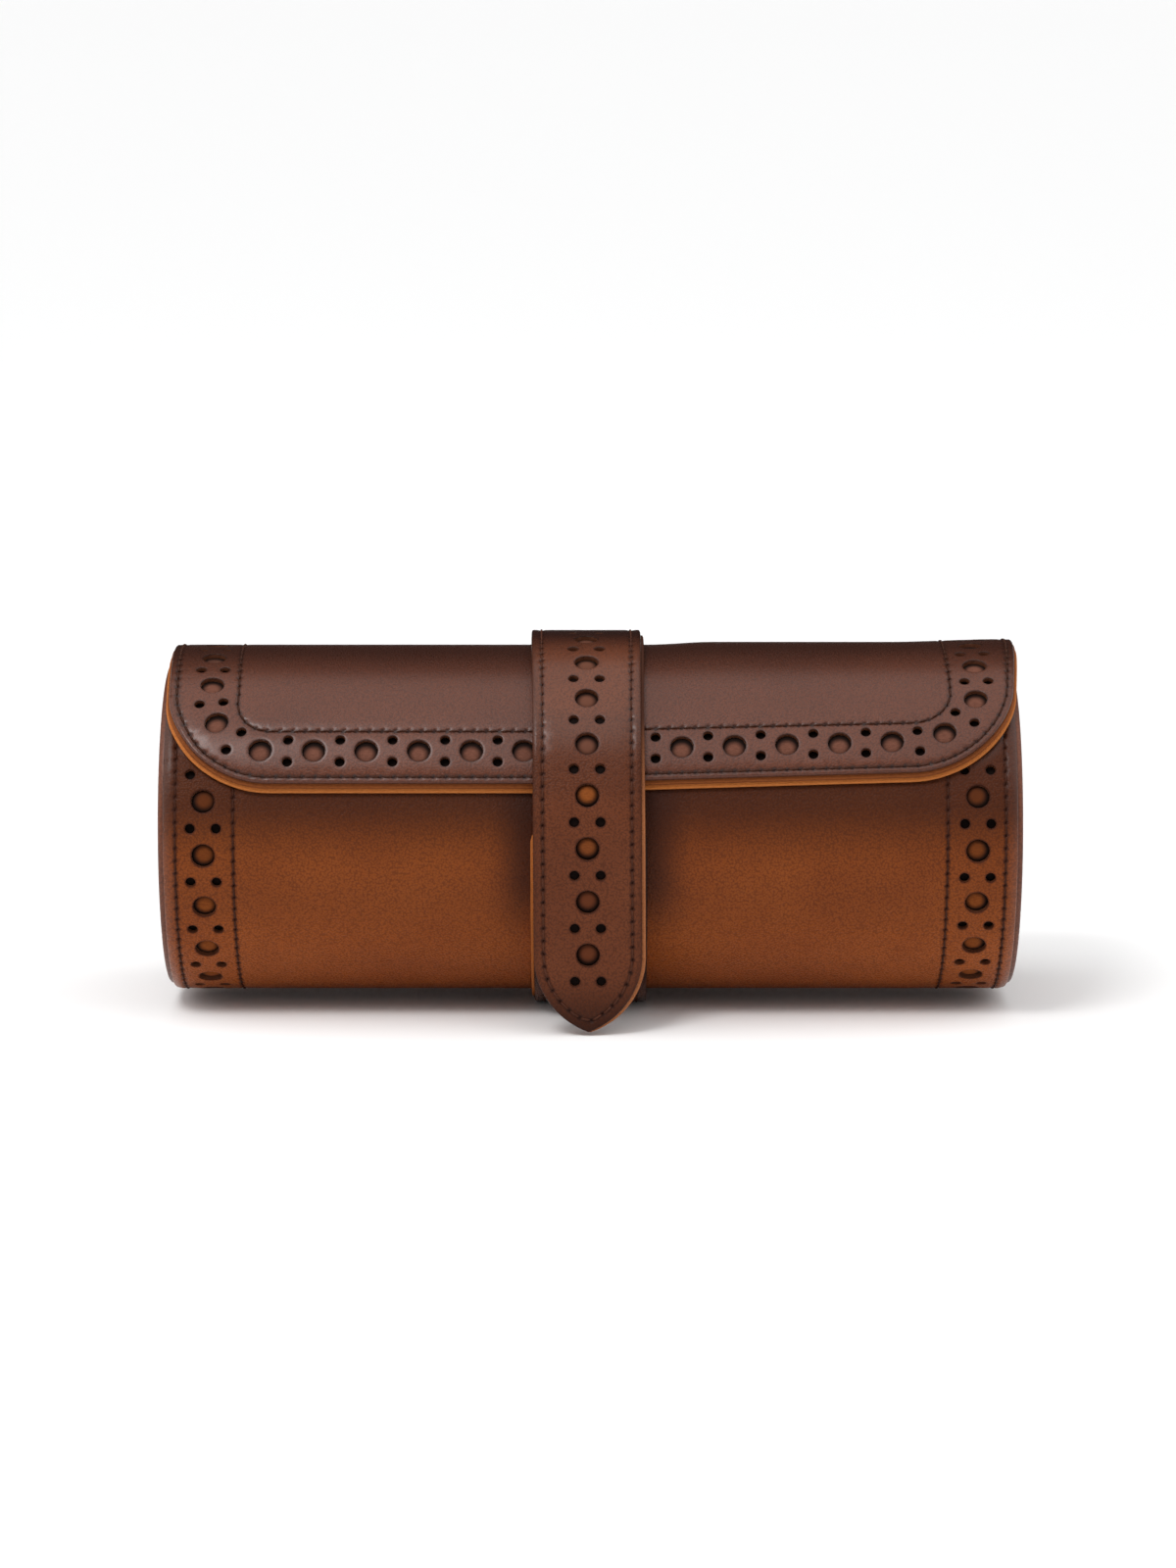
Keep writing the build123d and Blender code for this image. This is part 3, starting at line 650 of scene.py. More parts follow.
def mark_floors(piece, large, shade_shift):
    """Store how far inside the rim of a large hole each point of a backing lies, for its material's painted
    shade.

    The function given moves the middle of each hole's painted shade off the hole's middle, across and along.
    """
    count = len(piece.data.vertices)
    flat = np.empty(count * 3, np.float32)
    near = np.empty(count * 3, np.float32)
    piece.data.attributes["flat"].data.foreach_get("vector", flat)
    piece.data.attributes["near"].data.foreach_get("vector", near)
    flat, near = flat.reshape(-1, 3), near.reshape(-1, 3)
    inside = np.zeros(count)
    for x, along, radius in large:
        across, drop = shade_shift(x, along)
        inside = np.maximum(inside, radius - np.hypot(flat[:, 0] - x - across, flat[:, 1] - along - drop))
    near[:, 2] = inside
    piece.data.attributes["near"].data.foreach_set("vector", near.ravel())


FLOOR_FIBRE = 0.0012
BARE_EDGE = (0.003, 0.0024)  # from the sheet's edge: where its colour starts and is full


def floor_material(name, dark, light, shade, edges=None, zones=(), edge_zones=()):
    """Leather seen at the bottom of punched holes, with painted shade: dark round their rims and black in
    small ones.

    edges are the colours of its bare edge. Each zone of its face, or of its bare edge, is a colour
    that it fades to along the sheet, with where the fade is full and gone.
    """
    made, tree, shader = new_material(name)
    where = stored(tree, "flat")
    strands = place_group(tree, fibre, Where=where, Length=FLOOR_FIBRE)
    parts = node(tree, "ShaderNodeSeparateXYZ", Vector=stored(tree, "near")).outputs
    tone = to_zones(tree, mix_colours(tree, strands["Tone"], dark, light), where, zones)
    tone = mix_colours(tree, from_range(tree, parts["Z"], RIM_SHADE, 0.0, True), tone, shade)
    if edges:
        bare = to_zones(tree, mix_colours(tree, strands["Tone"], *edges), where, edge_zones)
        tone = mix_colours(tree, from_range(tree, parts["X"], *BARE_EDGE), tone, bare)
    dress(tree, shader, tone, strands["Height"], 0.00006, 0.7, 0.08)
    return made


BACKING_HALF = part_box("case_backing")[1].x
BODY_END = along_body(BODY_TOP_ANGLE)
FOLD_ANGLE = 38.0
WALL_END = along_body(FOLD_ANGLE + 359.6)
WALL_ARCS = (
    (FRONT_CENTRE, FRONT_RADIUS, LIP_ANGLE, WRAP_JOIN),
    (BACK_CENTRE, BACK_RADIUS, WRAP_JOIN, FOLD_ANGLE + 360),
)
CASE_SHADE_SHIFT = 0.0003  # how far the painted shadow in its holes is moved off their middles
case_backing = cut_sheet(
    "tan_backing", bent(WALL_ARCS), rectangle(BACKING_HALF, 0.0, WALL_END),
    -LEATHER, -LEATHER - BACKING, relief=floors(body_large, body_small, DOME, 0.0005), edge=0.0001,
    spacing=0.003, rows=floor_rings(body_large, body_small), groove=0.0, needle=0.0,
)
mark_floors(case_backing, body_large, lambda x, along: (math.copysign(CASE_SHADE_SHIFT, -x), -CASE_SHADE_SHIFT))
# Painted shade in the holes: black in small ones, dark round the rims of the large ones' floors
HOLE_SHADE = colour(18, 7, 4)
# Painted shadow of the flap: the hole floors darken up towards its edge
tan_face = floor_material(
    "tan_leather", colour(94, 44, 13), colour(124, 65, 23), HOLE_SHADE,
    zones=[(colour(78, 37, 13), along_body(160), along_body(200))],
)
EDGE_FIBRE = (0.0009, 0.00008)  # length and depth
raw_edge = fibre_material("raw_leather_edge", colour(128, 68, 27), colour(168, 98, 46), *EDGE_FIBRE)
flesh_side = fibre_material("flesh_side", colour(128, 88, 58), colour(160, 118, 84), 0.0016, 0.0001, "flat")
finish_piece(case_backing, "tan_backing", tan_face, raw_edge, flesh_side)
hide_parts("case_backing")
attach(case_backing, "case")

# Body leather: one wide piece of waxed calf, warm brown, rolled round the board from the lip under
# the roll to the top of its back. A punched band and two seams run along each of its turned ends.
END_ROLL = 0.003  # the ends turn down over this width
END_DROP = 0.0006
BAND_SEAMS = (0.00305, 0.0173)  # from the leather's end
LIP_SEAM = 0.0035
EAR_TOP = along_body(118.0)  # the ends reach further up, over the round end boards
EAR_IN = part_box("end_lining_right")[0].x
EAR_ROUND = 0.0025
EAR_HOLLOW = 0.01
TOP_ROUND = 0.0012
BAND_SEAM_STARTS = (EAR_TOP + 0.003, LIP_SEAM)
BAND_SEAM_END = BODY_END - 0.0065
THREAD_LIFT = -0.0001  # it lies a little sunk into the leather
SKIVE = 0.0055  # thinned under the flap's leather
SKIVE_DEPTH = 0.0008
TURN_SWELL = (0.00012, 0.0019, 0.0009)  # height, place from the end, and width

# Painted shadow: darker under the flap and beside the strap, where their shadows fall; also a little darker
# over the upper half of the front
BODY_FADES = (
    (0.78, ("Y", along_body(163), along_body(187))),
    (0.3, ("Y", along_body(192), along_body(222))),
    (0.8, ("X", 0.0155, 0.0265), ("Y", along_body(188), along_body(216))),
)

# Fine pebbled grain with pores, and a broad cloudy tone from dyeing by hand
grain, grain_in, grain_out = new_group(
    "pebbled_grain",
    [("Where", "NodeSocketVector", (0, 0, 0)), ("Pebble", "NodeSocketFloat", 0.0006)],
    [("Height", "NodeSocketFloat"), ("Crease", "NodeSocketFloat"), ("Cloud", "NodeSocketFloat")],
)
grain_place = scaled(grain, grain_in["Where"], grain_in["Pebble"])
grain_warp = node(grain, "ShaderNodeTexNoise", Vector=grain_place, Scale=0.8, Detail=1.0)
grain_bent = node(
    grain, "ShaderNodeVectorMath", {"operation": "MULTIPLY_ADD"}, Vector=grain_warp.outputs["Color"]
)
grain_bent.inputs[1].default_value = (0.7, 0.7, 0.7)
grain.links.new(grain_place, grain_bent.inputs[2])
grain_cells = node(
    grain, "ShaderNodeTexVoronoi", {"feature": "SMOOTH_F1"}, Vector=grain_bent.outputs["Vector"], Scale=1.0,
    Smoothness=0.35,
).outputs["Distance"]
grain_fine = noise(grain, grain_place, 2.6, 3.0, Roughness=0.6)
grain_height = calc(grain, "MULTIPLY_ADD", grain_fine, 0.35, calc(grain, "SUBTRACT", 1.0, grain_cells))
grain.links.new(grain_height, grain_out["Height"])
grain.links.new(from_range(grain, grain_cells, 0.32, 0.72), grain_out["Crease"])
grain_cloud = noise(grain, grain_in["Where"], 24.0, 4.0, Roughness=0.6)
grain.links.new(from_range(grain, grain_cloud, 0.2, 0.8), grain_out["Cloud"])

# Where the finish is darker: edges darkened by rubbing; pressed seams, partly painted shade in their
# grooves; and the rims of punched holes and the needle holes, partly painted shade in them
burnish_and_shade, burnish_and_shade_in, burnish_and_shade_out = new_group(
    "burnish_and_shade",
    [("Near", "NodeSocketVector", (1, 1, 1)), ("Where", "NodeSocketVector", (0, 0, 0)),
     ("Edge Width", "NodeSocketFloat", 0.004)],
    [("Edge", "NodeSocketFloat"), ("Seam", "NodeSocketFloat"), ("Hole", "NodeSocketFloat")],
)
burnish_and_shade_parts = node(burnish_and_shade, "ShaderNodeSeparateXYZ", Vector=burnish_and_shade_in["Near"])
burnish_and_shade_wobble = calc(burnish_and_shade, "MULTIPLY_ADD", noise(burnish_and_shade, burnish_and_shade_in["Where"], 260.0, 2.0), 0.7, 0.65)
burnish_and_shade_widths = (("X", "Edge", burnish_and_shade_in["Edge Width"]), ("Y", "Seam", 0.0009), ("Z", "Hole", 0.00055))
for part, title, width in burnish_and_shade_widths:
    reach = calc(burnish_and_shade, "MULTIPLY", burnish_and_shade_wobble, width)
    share = calc(burnish_and_shade, "DIVIDE", burnish_and_shade_parts.outputs[part], reach)
    near_share = calc(burnish_and_shade, "SUBTRACT", 1.0, share, clamp=True)
    burnish_and_shade.links.new(calc(burnish_and_shade, "POWER", near_share, 1.3), burnish_and_shade_out[title])


# How far the grain's creases darken: painted shade in them
CREASE_SHADE = 0.42
CREASE_DULL = 0.14


def in_ranges(tree, parts, ranges):
    """Product of soft steps over a flat pattern. Each has its axis, where it is full and where gone."""
    product = 1.0
    for axis, full, gone in ranges:
        place = parts.outputs[axis] if axis == "Y" else calc(tree, "ABSOLUTE", parts.outputs[axis])
        product = calc(tree, "MULTIPLY", from_range(tree, place, gone, full, True), product)
    return product


def leather_material(name, dark, light, burnt_and_shade, pebble, depth, rough, edge_width, shares, fades=(),
                     specular=0.25, polish=0.0, wax=0.0, waxed=()):
    """Waxed leather. shares are how far edges, seams and hole rims darken to the dark colour, partly as
    painted shade at seams and holes; the grain's creases darken to it as painted shade.

    Each fade is a soft darkening across the flat pattern, mostly painted shade: its share and its ranges.
    polish is the clear wax on the edges, and wax that in the waxed ranges.
    """
    made, tree, shader = new_material(name)
    where = stored(tree, "flat")
    pebbles = place_group(tree, grain, Where=where, Pebble=pebble)
    rubbed_and_shaded = place_group(tree, burnish_and_shade, Near=stored(tree, "near"), Where=where, Edge_Width=edge_width)
    parts = node(tree, "ShaderNodeSeparateXYZ", Vector=where)
    shade = mix_colours(tree, pebbles["Cloud"], dark, light)
    # Painted shade in the creases and over the fades; seams and holes darken partly as painted shade
    burns_and_shades = [(pebbles["Crease"], CREASE_SHADE)]
    burns_and_shades += [(in_ranges(tree, parts, ranges), share) for share, *ranges in fades]
    burns_and_shades += [(rubbed_and_shaded[title], share) for title, share in zip(("Edge", "Seam", "Hole"), shares)]
    for dimming, share in burns_and_shades:
        shade = mix_colours(tree, calc(tree, "MULTIPLY", dimming, share), shade, burnt_and_shade)
    coat = calc(tree, "MULTIPLY", rubbed_and_shaded["Edge"], polish)
    if waxed:
        coat = calc(tree, "ADD", coat, calc(tree, "MULTIPLY", in_ranges(tree, parts, waxed), wax))
    tree.links.new(coat, shader.inputs["Coat Weight"])
    set_inputs(shader, Coat_Roughness=rough)
    dull = calc(tree, "MULTIPLY_ADD", pebbles["Crease"], CREASE_DULL, rough)
    dress(tree, shader, shade, pebbles["Height"], depth, dull, specular, 1.0)
    return made


SEAM_STEP = 0.0002


def seam_line(points):
    """A seam through some points: four steps to a stitch, and a needle hole at every fourth."""
    line = even_steps(np.array(points), SEAM_STEP)
    stitches = max(int(round(len(line) * SEAM_STEP / STITCH)), 1)
    return even_steps(line, (len(line) - 1) * SEAM_STEP / (4 * stitches))


def smooth(value, begin, end):
    """Smooth step from 0 at the begin to 1 at the end."""
    share = np.clip((value - begin) / (end - begin), 0, 1)
    return share * share * (3 - 2 * share)


def rolled(past):
    """How far a turned edge has gone down, as a share of its round, at a share of its way out."""
    return 1 - np.sqrt(1 - np.clip(past, 0, 1) ** 2)


body_seams = []
for side in (-1, 1):
    for inset, begin in zip(BAND_SEAMS, BAND_SEAM_STARTS):
        seam_x = side * (BODY_HALF - inset)
        body_seams.append(seam_line([(seam_x, begin), (seam_x, BAND_SEAM_END)]))
lip_reach = BODY_HALF - BAND_SEAMS[1] - STITCH / 2
body_seams.append(seam_line([(-lip_reach, LIP_SEAM), (lip_reach, LIP_SEAM)]))


def body_relief(x, along):
    """Turned ends, a swell between the bands' seams, and the thinned edge under the flap's leather."""
    from_end = BODY_HALF - np.abs(x)
    height, middle, width = TURN_SWELL
    swell = height * bump_of(from_end - middle, width)
    turned = END_DROP * rolled(1 - from_end / END_ROLL)
    return swell - turned - SKIVE_DEPTH * smooth(along, BODY_END - SKIVE, BODY_END)


body_outline = rounded_outline([
    (-BODY_HALF, EAR_TOP, EAR_ROUND), (-EAR_IN, EAR_TOP, EAR_ROUND), (-EAR_IN, 0.0, EAR_HOLLOW),
    (EAR_IN, 0.0, EAR_HOLLOW), (EAR_IN, EAR_TOP, EAR_ROUND), (BODY_HALF, EAR_TOP, EAR_ROUND),
    (BODY_HALF, BODY_END, TOP_ROUND), (-BODY_HALF, BODY_END, TOP_ROUND),
])
body_leather = cut_sheet(
    "body_leather", bent(BODY_ARCS), body_outline,
    0.0, -LEATHER, holes=body_large + body_small, rows=body_seams, relief=body_relief,
    edge=0.00035, spacing=0.0025,
)
body_finish = leather_material(
    "body_leather", colour(122, 57, 17), colour(150, 77, 27), colour(44, 17, 7), 0.00052, 0.00014, 0.33,
    0.0035, (0.1, 0.6, 0.9), BODY_FADES, 0.1, polish=0.6,
)
dark_edge = fibre_material(
    "burnished_edge", colour(58, 30, 18), colour(92, 52, 32), EDGE_FIBRE[0], EDGE_FIBRE[1] / 2, rough=0.5
)
finish_piece(body_leather, "tray_leather", body_finish, dark_edge, flesh_side)
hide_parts("case_outer_leather")
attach(body_leather, "case")


def tube_faces(rings, count, first=0, closed=False):
    """Faces that join rings of as many points each; a closed tube's last ring meets its first."""
    total = rings * count
    faces = []
    for start in range(0, total if closed else total - count, count):
        for corner in range(count):
            a, b = start + corner, start + (corner + 1) % count
            faces.append(tuple(first + turn % total for turn in (a, b, b + count, a + count)))
    return faces


# One stitch from needle hole to needle hole: share of the way, rise and share of the full width
STITCH_FORM = (
    (0.1, -0.00042, 0.7), (0.2, -0.00016, 0.95), (0.34, 0.00002, 1.0), (0.5, 0.00007, 1.0),
    (0.66, 0.00002, 1.0), (0.8, -0.00016, 0.95), (0.9, -0.00042, 0.7),
)
THREAD_RADIUS = 0.00024
THREAD_SIDES = 6
THREAD_FLATNESS = 0.85
STITCH_SLANT = 0.00016


def sew(name, place, seams, lift=0.0, relief=None):
    """Stitches of waxed thread along the seams: each comes out of a hole and dives into the next."""
    turn = np.linspace(0, 2 * math.pi, THREAD_SIDES, endpoint=False)
    flats = []
    lifts = []
    faces = []
    for seam in seams:
        for first in range(0, len(seam) - 4, 4):
            start, end = seam[first], seam[first + 4]
            ahead = (end - start) / np.hypot(*(end - start))
            across = np.array([-ahead[1], ahead[0]])
            begin = len(flats) * THREAD_SIDES
            for share, rise, width in STITCH_FORM:
                radius = THREAD_RADIUS * width
                centre = start + (end - start) * share + across * STITCH_SLANT * (0.5 - share)
                flats.append(centre + across * (radius * np.cos(turn))[:, None])
                lifts.append(lift + rise + radius * THREAD_FLATNESS * np.sin(turn))
            faces += tube_faces(len(STITCH_FORM), THREAD_SIDES, begin)
            last = begin + (len(STITCH_FORM) - 1) * THREAD_SIDES
            faces.append(tuple(range(begin, begin + THREAD_SIDES))[::-1])
            faces.append(tuple(range(last, last + THREAD_SIDES)))
    flat = np.vstack(flats)
    heights = np.concatenate(lifts)
    if relief:
        heights = heights + relief(flat[:, 0], flat[:, 1])
    made = new_piece(name, place(flat[:, 0], flat[:, 1], heights), [face[::-1] for face in faces])
    store(made, "flat", np.column_stack([flat, heights]))
    return made


def thread_material(name, dark, light):
    """Waxed linen thread, twisted from a few plies."""
    made, tree, shader = new_material(name)
    where = stored(tree, "flat")
    ply = node(
        tree, "ShaderNodeTexWave", {"bands_direction": "DIAGONAL"}, Vector=where, Scale=900.0, Distortion=1.5
    )
    shade = mix_colours(tree, noise(tree, where, 500.0, 2.0), dark, light)
    dress(tree, shader, shade, ply.outputs["Fac"], 0.00006, 0.5, 0.12)
    return made


body_thread = thread_material("brown_thread", colour(38, 16, 8), colour(70, 35, 20))
body_stitches = sew("body_stitches", bent(BODY_ARCS), body_seams, THREAD_LIFT, body_relief)
finish_piece(body_stitches, "tray_leather", body_thread)
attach(body_stitches, "case")

# Round ends: a disc of the same calf over each end board. Its rim is rounded over and stands just
# past the turned end of the body leather, and one seam runs round it near the edge.
END_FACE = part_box("end_cover_right")[1].x
END_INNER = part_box("end_cover_right")[0].x
RIM_UNDER = 0.00125  # below the outside of the body leather
UNDER_FLAP = 0.00385  # below the outside of the flap
RIM_ROUND = 0.0011
END_SEAM = 0.0052
END_CROWN = 0.00035
END_POINTS = 170
SEAM_EASING = 27  # points of the outline that its seam eases over, past the steps in the edge
HINGE_TAPER = 2.4  # degrees


def reach_to(centre, radius, angle):
    """Distance from the roll's axis to a circle of the end view, towards an angle."""
    away = np.array(centre) - np.array(FRONT_CENTRE)
    ahead = away @ (math.cos(math.radians(angle)), math.sin(math.radians(angle)))
    return ahead + math.sqrt(radius ** 2 - away @ away + ahead ** 2)


def end_reach(angle, under_leather, under_flap):
    """Distance from the roll's axis to the edge of a round end piece."""
    over = min(FRONT_RADIUS - under_leather, reach_to(BACK_CENTRE, BACK_RADIUS - under_flap, angle))
    if FOLD_ANGLE <= angle <= WRAP_JOIN:
        return over if angle < LIP_ANGLE else FRONT_RADIUS - under_leather
    behind = reach_to(BACK_CENTRE, BACK_RADIUS - under_leather, angle)
    if angle > FOLD_ANGLE:
        return behind
    return behind + (over - behind) * smooth(angle, FOLD_ANGLE - HINGE_TAPER, FOLD_ANGLE)


def end_outline(under_leather, under_flap):
    """Outline of a round end piece, seen from outside, as Y and the height over the axis."""
    angles = np.linspace(0, 360, END_POINTS, endpoint=False)
    reaches = np.array([end_reach(angle, under_leather, under_flap) for angle in angles])
    turn = np.radians(angles)

    def outline(inset):
        return np.column_stack([(reaches - inset) * np.cos(turn), (reaches - inset) * np.sin(turn)])
    return outline


def on_end(side, face):
    """Place of a flat pattern on an upright face: side is 1 for the right and -1 for the left."""
    def place(across, up, lift):
        return np.column_stack([side * (face + lift), across, ROLL_AXIS + up])
    return place


def crown(height, reach):
    """Relief of a panel that is a little fuller in its middle."""
    def relief(x, along):
        return height * np.clip(1 - (x ** 2 + along ** 2) / reach ** 2, 0, 1)
    return relief


end_finish = leather_material(
    "end_leather", colour(96, 46, 22), colour(118, 60, 30), colour(40, 16, 8), 0.00056, 0.00005, 0.38,
    0.004, (0.25, 0.5, 0.75), polish=0.2,
)
cover_outline = end_outline(RIM_UNDER, UNDER_FLAP)
cover_seam = cover_outline(END_SEAM)
seam_reach = np.hypot(*cover_seam.T)
eased = np.convolve(np.tile(seam_reach, 3), np.ones(SEAM_EASING) / SEAM_EASING, "same")
cover_seam *= (eased[END_POINTS:2 * END_POINTS] / seam_reach)[:, None]
cover_seam = [seam_line(np.vstack([cover_seam, cover_seam[:1]]))]
cover_crown = crown(END_CROWN, FRONT_RADIUS)
SIDES = (("left", -1), ("right", 1))
for side_name, side in SIDES:
    cover = cut_sheet(
        f"end_leather_{side_name}", on_end(side, END_FACE), cover_outline, 0.0, END_INNER - END_FACE,
        rows=cover_seam, edge=RIM_ROUND, relief=cover_crown,
    )
    finish_piece(cover, "tray_leather", end_finish, end_finish, flesh_side)
    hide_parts(f"end_cover_{side_name}")
    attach(cover, "case")
    cover_stitches = sew(
        f"end_stitches_{side_name}", on_end(side, END_FACE), cover_seam, THREAD_LIFT, cover_crown
    )
    finish_piece(cover_stitches, "tray_leather", body_thread)
    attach(cover_stitches, "case")

# Lining: camel suede glued over the board and on both end discs. The model's own sheets stay, and a
# rounded bead of the same suede, rolled over the wall's cut edge, finishes the lip.
nap, nap_in, nap_out = new_group(
    "suede_nap",
    [("Where", "NodeSocketVector", (0, 0, 0)), ("Hair", "NodeSocketFloat", 0.0004)],
    [("Height", "NodeSocketFloat"), ("Brush", "NodeSocketFloat")],
)
nap_hair = noise(nap, scaled(nap, nap_in["Where"], nap_in["Hair"]), 1.0, 4.0, Roughness=0.7)
nap_stroke = noise(nap, nap_in["Where"], 55.0, 5.0, Roughness=0.6, Distortion=0.6)
nap_both = calc(nap, "MULTIPLY_ADD", nap_hair, 0.35, calc(nap, "MULTIPLY", nap_stroke, 0.75))
nap.links.new(nap_hair, nap_out["Height"])
nap.links.new(from_range(nap, nap_both, 0.4, 0.7), nap_out["Brush"])


def suede_material(name, dark, light):
    """Suede: a short nap that looks lighter where it has been stroked one way."""
    made, tree, shader = new_material(name)
    where = node(tree, "ShaderNodeTexCoord").outputs["Object"]
    hairs = place_group(tree, nap, Where=where, Hair=0.0004)
    shade = mix_colours(tree, hairs["Brush"], dark, light)
    dress(tree, shader, shade, hairs["Height"], 0.00015, 0.95, 0.15, 0.7)
    set_inputs(shader, Sheen_Weight=0.35, Sheen_Roughness=0.45)
    return made


lining_suede = suede_material("lining_suede", colour(150, 112, 78), colour(186, 148, 110))
for lining in ("case_lining", "end_lining_left", "end_lining_right"):
    finish_piece(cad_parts[lining], "suede_lining", lining_suede)

WALL = 0.0034
LIP_OUT = 0.0007  # how far the bead stands past the wall's edge
LIP_OVER = 0.0001  # and past both of its faces
LIP_FIT = 0.0002
LIP_ENDS = ((0.0, 0.4), (0.0006, 0.95))  # how far in from its end, and the share of its section
LIP_ROUND = 0.0015


def long_form(name, sections):
    """A closed form along X through its sections, each given as its X and its Y and Z points."""
    rings = [np.column_stack([np.full(len(section), x), section]) for x, section in sections]
    count = len(rings[0])
    faces = [tuple(range(count)), tuple(range((len(rings) - 1) * count, len(rings) * count))]
    return new_piece(name, np.vstack(rings), faces + tube_faces(len(rings), count))


lip_section = []
lip_middle = FRONT_RADIUS - (LEATHER + WALL) / 2
lip_half = (WALL - LEATHER) / 2 + LIP_OVER
for turn in np.radians(np.arange(0, 360, 20)):
    radius = lip_middle + lip_half * math.cos(turn)
    angle = math.radians(LIP_ANGLE) - LIP_OUT * math.sin(turn) / lip_middle
    lip_section.append((radius * math.cos(angle), ROLL_AXIS + radius * math.sin(angle)))
lining_half = EAR_IN - LIP_FIT
lip_path = [(-lining_half + distance, share) for distance, share in LIP_ENDS]
lip_path += [(x, 1.0) for x in np.linspace(-lining_half + LIP_ROUND, lining_half - LIP_ROUND, 60)]
lip_path += [(lining_half - distance, share) for distance, share in reversed(LIP_ENDS)]
lip_centre = np.mean(lip_section, axis=0)
lip_section -= lip_centre
lip_bead = long_form("lip_bead", [(x, lip_centre + lip_section * share) for x, share in lip_path])
finish_piece(lip_bead, "suede_lining", lining_suede)
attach(lip_bead, "case")

# Dividers: two upright panels of board wrapped in the lining's suede, which part the three bays.
# They are cut to the round of the tray and level on top, with softly rounded edges.
DIVIDER_FIT = 0.0001
DIVIDER_LOW, DIVIDER_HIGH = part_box("divider_right")
DIVIDER_TOP = DIVIDER_HIGH.z - ROLL_AXIS


def divider_outline(inset):
    """Outline of a divider: round under its level top, as Y and the height over the axis."""
    top = DIVIDER_TOP - inset
    front = FRONT_RADIUS - WALL - DIVIDER_FIT - inset
    back = BACK_RADIUS - WALL - DIVIDER_FIT - inset
    back_y = BACK_CENTRE[0]
    back_up = BACK_CENTRE[1] - ROLL_AXIS
    front_end = 180 - math.degrees(math.asin(top / front))
    back_end = 360 + math.degrees(math.asin((top - back_up) / back))
    under = np.radians(np.linspace(front_end, WRAP_JOIN, 70))
    behind = np.radians(np.linspace(WRAP_JOIN, back_end, 30))[1:]
    round_y = np.concatenate([front * np.cos(under), back_y + back * np.cos(behind)])
    round_up = np.concatenate([front * np.sin(under), back_up + back * np.sin(behind)])
    level = np.linspace(round_y[-1], round_y[0], 46)[1:-1]
    return np.column_stack([np.append(round_y, level), np.append(round_up, np.full(len(level), top))])


for side_name, side in SIDES:
    divider = cut_sheet(
        f"wrapped_divider_{side_name}", on_end(side, DIVIDER_LOW.x), divider_outline,
        DIVIDER_HIGH.x - DIVIDER_LOW.x, 0.0, edge=0.0009, under_edge=0.0009, spacing=0.004,
    )
    finish_piece(divider, "suede_lining", lining_suede, lining_suede, lining_suede)
    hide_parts(f"divider_{side_name}")
    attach(divider, "case")

# Lower strap: two layers of leather, edge-stitched and sewn round the back and the bottom of the
# tray. The closing strap comes down over its front end. The roll rests on its flattened underside.
LOWER_BACKING = 0.002
LOWER_LEATHER = 0.0014
LOWER_FRONT = 172.0
LOWER_BACK = 380.0
LOWER_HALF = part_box("lower_strap_leather")[1].x
LOWER_SEAM = 0.0024
LOWER_BACKING_SHIFT = 0.0009  # to the left
REST_PLANE = 0.0
LOWER_RADIUS = FRONT_RADIUS + LOWER_BACKING + LOWER_LEATHER
LOWER_ARCS = (
    (FRONT_CENTRE, LOWER_RADIUS, LOWER_FRONT, WRAP_JOIN),
    (BACK_CENTRE, LOWER_RADIUS + WRAP_RISE, WRAP_JOIN, LOWER_BACK),
)
LOWER_END = LOWER_RADIUS * math.radians(WRAP_JOIN - LOWER_FRONT)
LOWER_END += (LOWER_RADIUS + WRAP_RISE) * math.radians(LOWER_BACK - WRAP_JOIN)

# Painted shade on the straps: they are darkest at both ends, and the closing strap is a little darker below
# its middle
STRAP_PAINTED_SHADE = (
    (1.0, ("Y", 0.04, 0.058)),
    (0.22, ("Y", 0.096, 0.102), ("Y", 0.08, 0.074)),
    (0.8, ("Y", 0.1575, 0.14)),
)
WAX = 0.38
strap_finish = leather_material(
    "strap_leather", colour(84, 42, 24), colour(105, 57, 34), colour(36, 14, 7), 0.0005, 0.00013, 0.27,
    0.0026, (0.45, 0.5, 0.8), STRAP_PAINTED_SHADE, 0.09, wax=WAX, waxed=[("Y", 0.06, 0.042), ("Y", 0.079, 0.091)],
)
on_lower = bent(LOWER_ARCS, REST_PLANE)
lower_outline = rectangle(LOWER_HALF, 0.0, LOWER_END, 0.003, 0.003)
lower_reach = LOWER_HALF - LOWER_SEAM
lower_line = [
    (-lower_reach, LOWER_SEAM), (lower_reach, LOWER_SEAM),
    (lower_reach, LOWER_END - LOWER_SEAM), (-lower_reach, LOWER_END - LOWER_SEAM),
]
lower_seams = [seam_line([lower_line[k], lower_line[(k + 1) % 4]]) for k in range(4)]
lower_leather = cut_sheet(
    "lower_strap_face", on_lower, lower_outline, 0.0, -LOWER_LEATHER, rows=lower_seams, edge=0.0006,
    spacing=0.002,
)
finish_piece(lower_leather, "flap_leather", strap_finish, dark_edge, flesh_side)
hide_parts("lower_strap_leather")
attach(lower_leather, "case")
lower_backing = cut_sheet(
    "lower_strap_lining", lambda x, along, lift: on_lower(x - LOWER_BACKING_SHIFT, along, lift),
    rectangle(LOWER_HALF - 0.0002, 0.0003, LOWER_END - 0.0003, 0.003, 0.003),
    -LOWER_LEATHER, -LOWER_LEATHER - LOWER_BACKING, edge=0.0003, under_edge=0.0003, spacing=0.003,
)
finish_piece(lower_backing, "tan_backing", raw_edge, raw_edge, raw_edge)
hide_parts("lower_strap_backing")
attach(lower_backing, "case")
strap_thread = thread_material("strap_thread", colour(46, 22, 13), colour(84, 46, 30))
lower_stitches = sew("lower_strap_stitches", on_lower, lower_seams, -0.00012)
finish_piece(lower_stitches, "flap_leather", strap_thread)
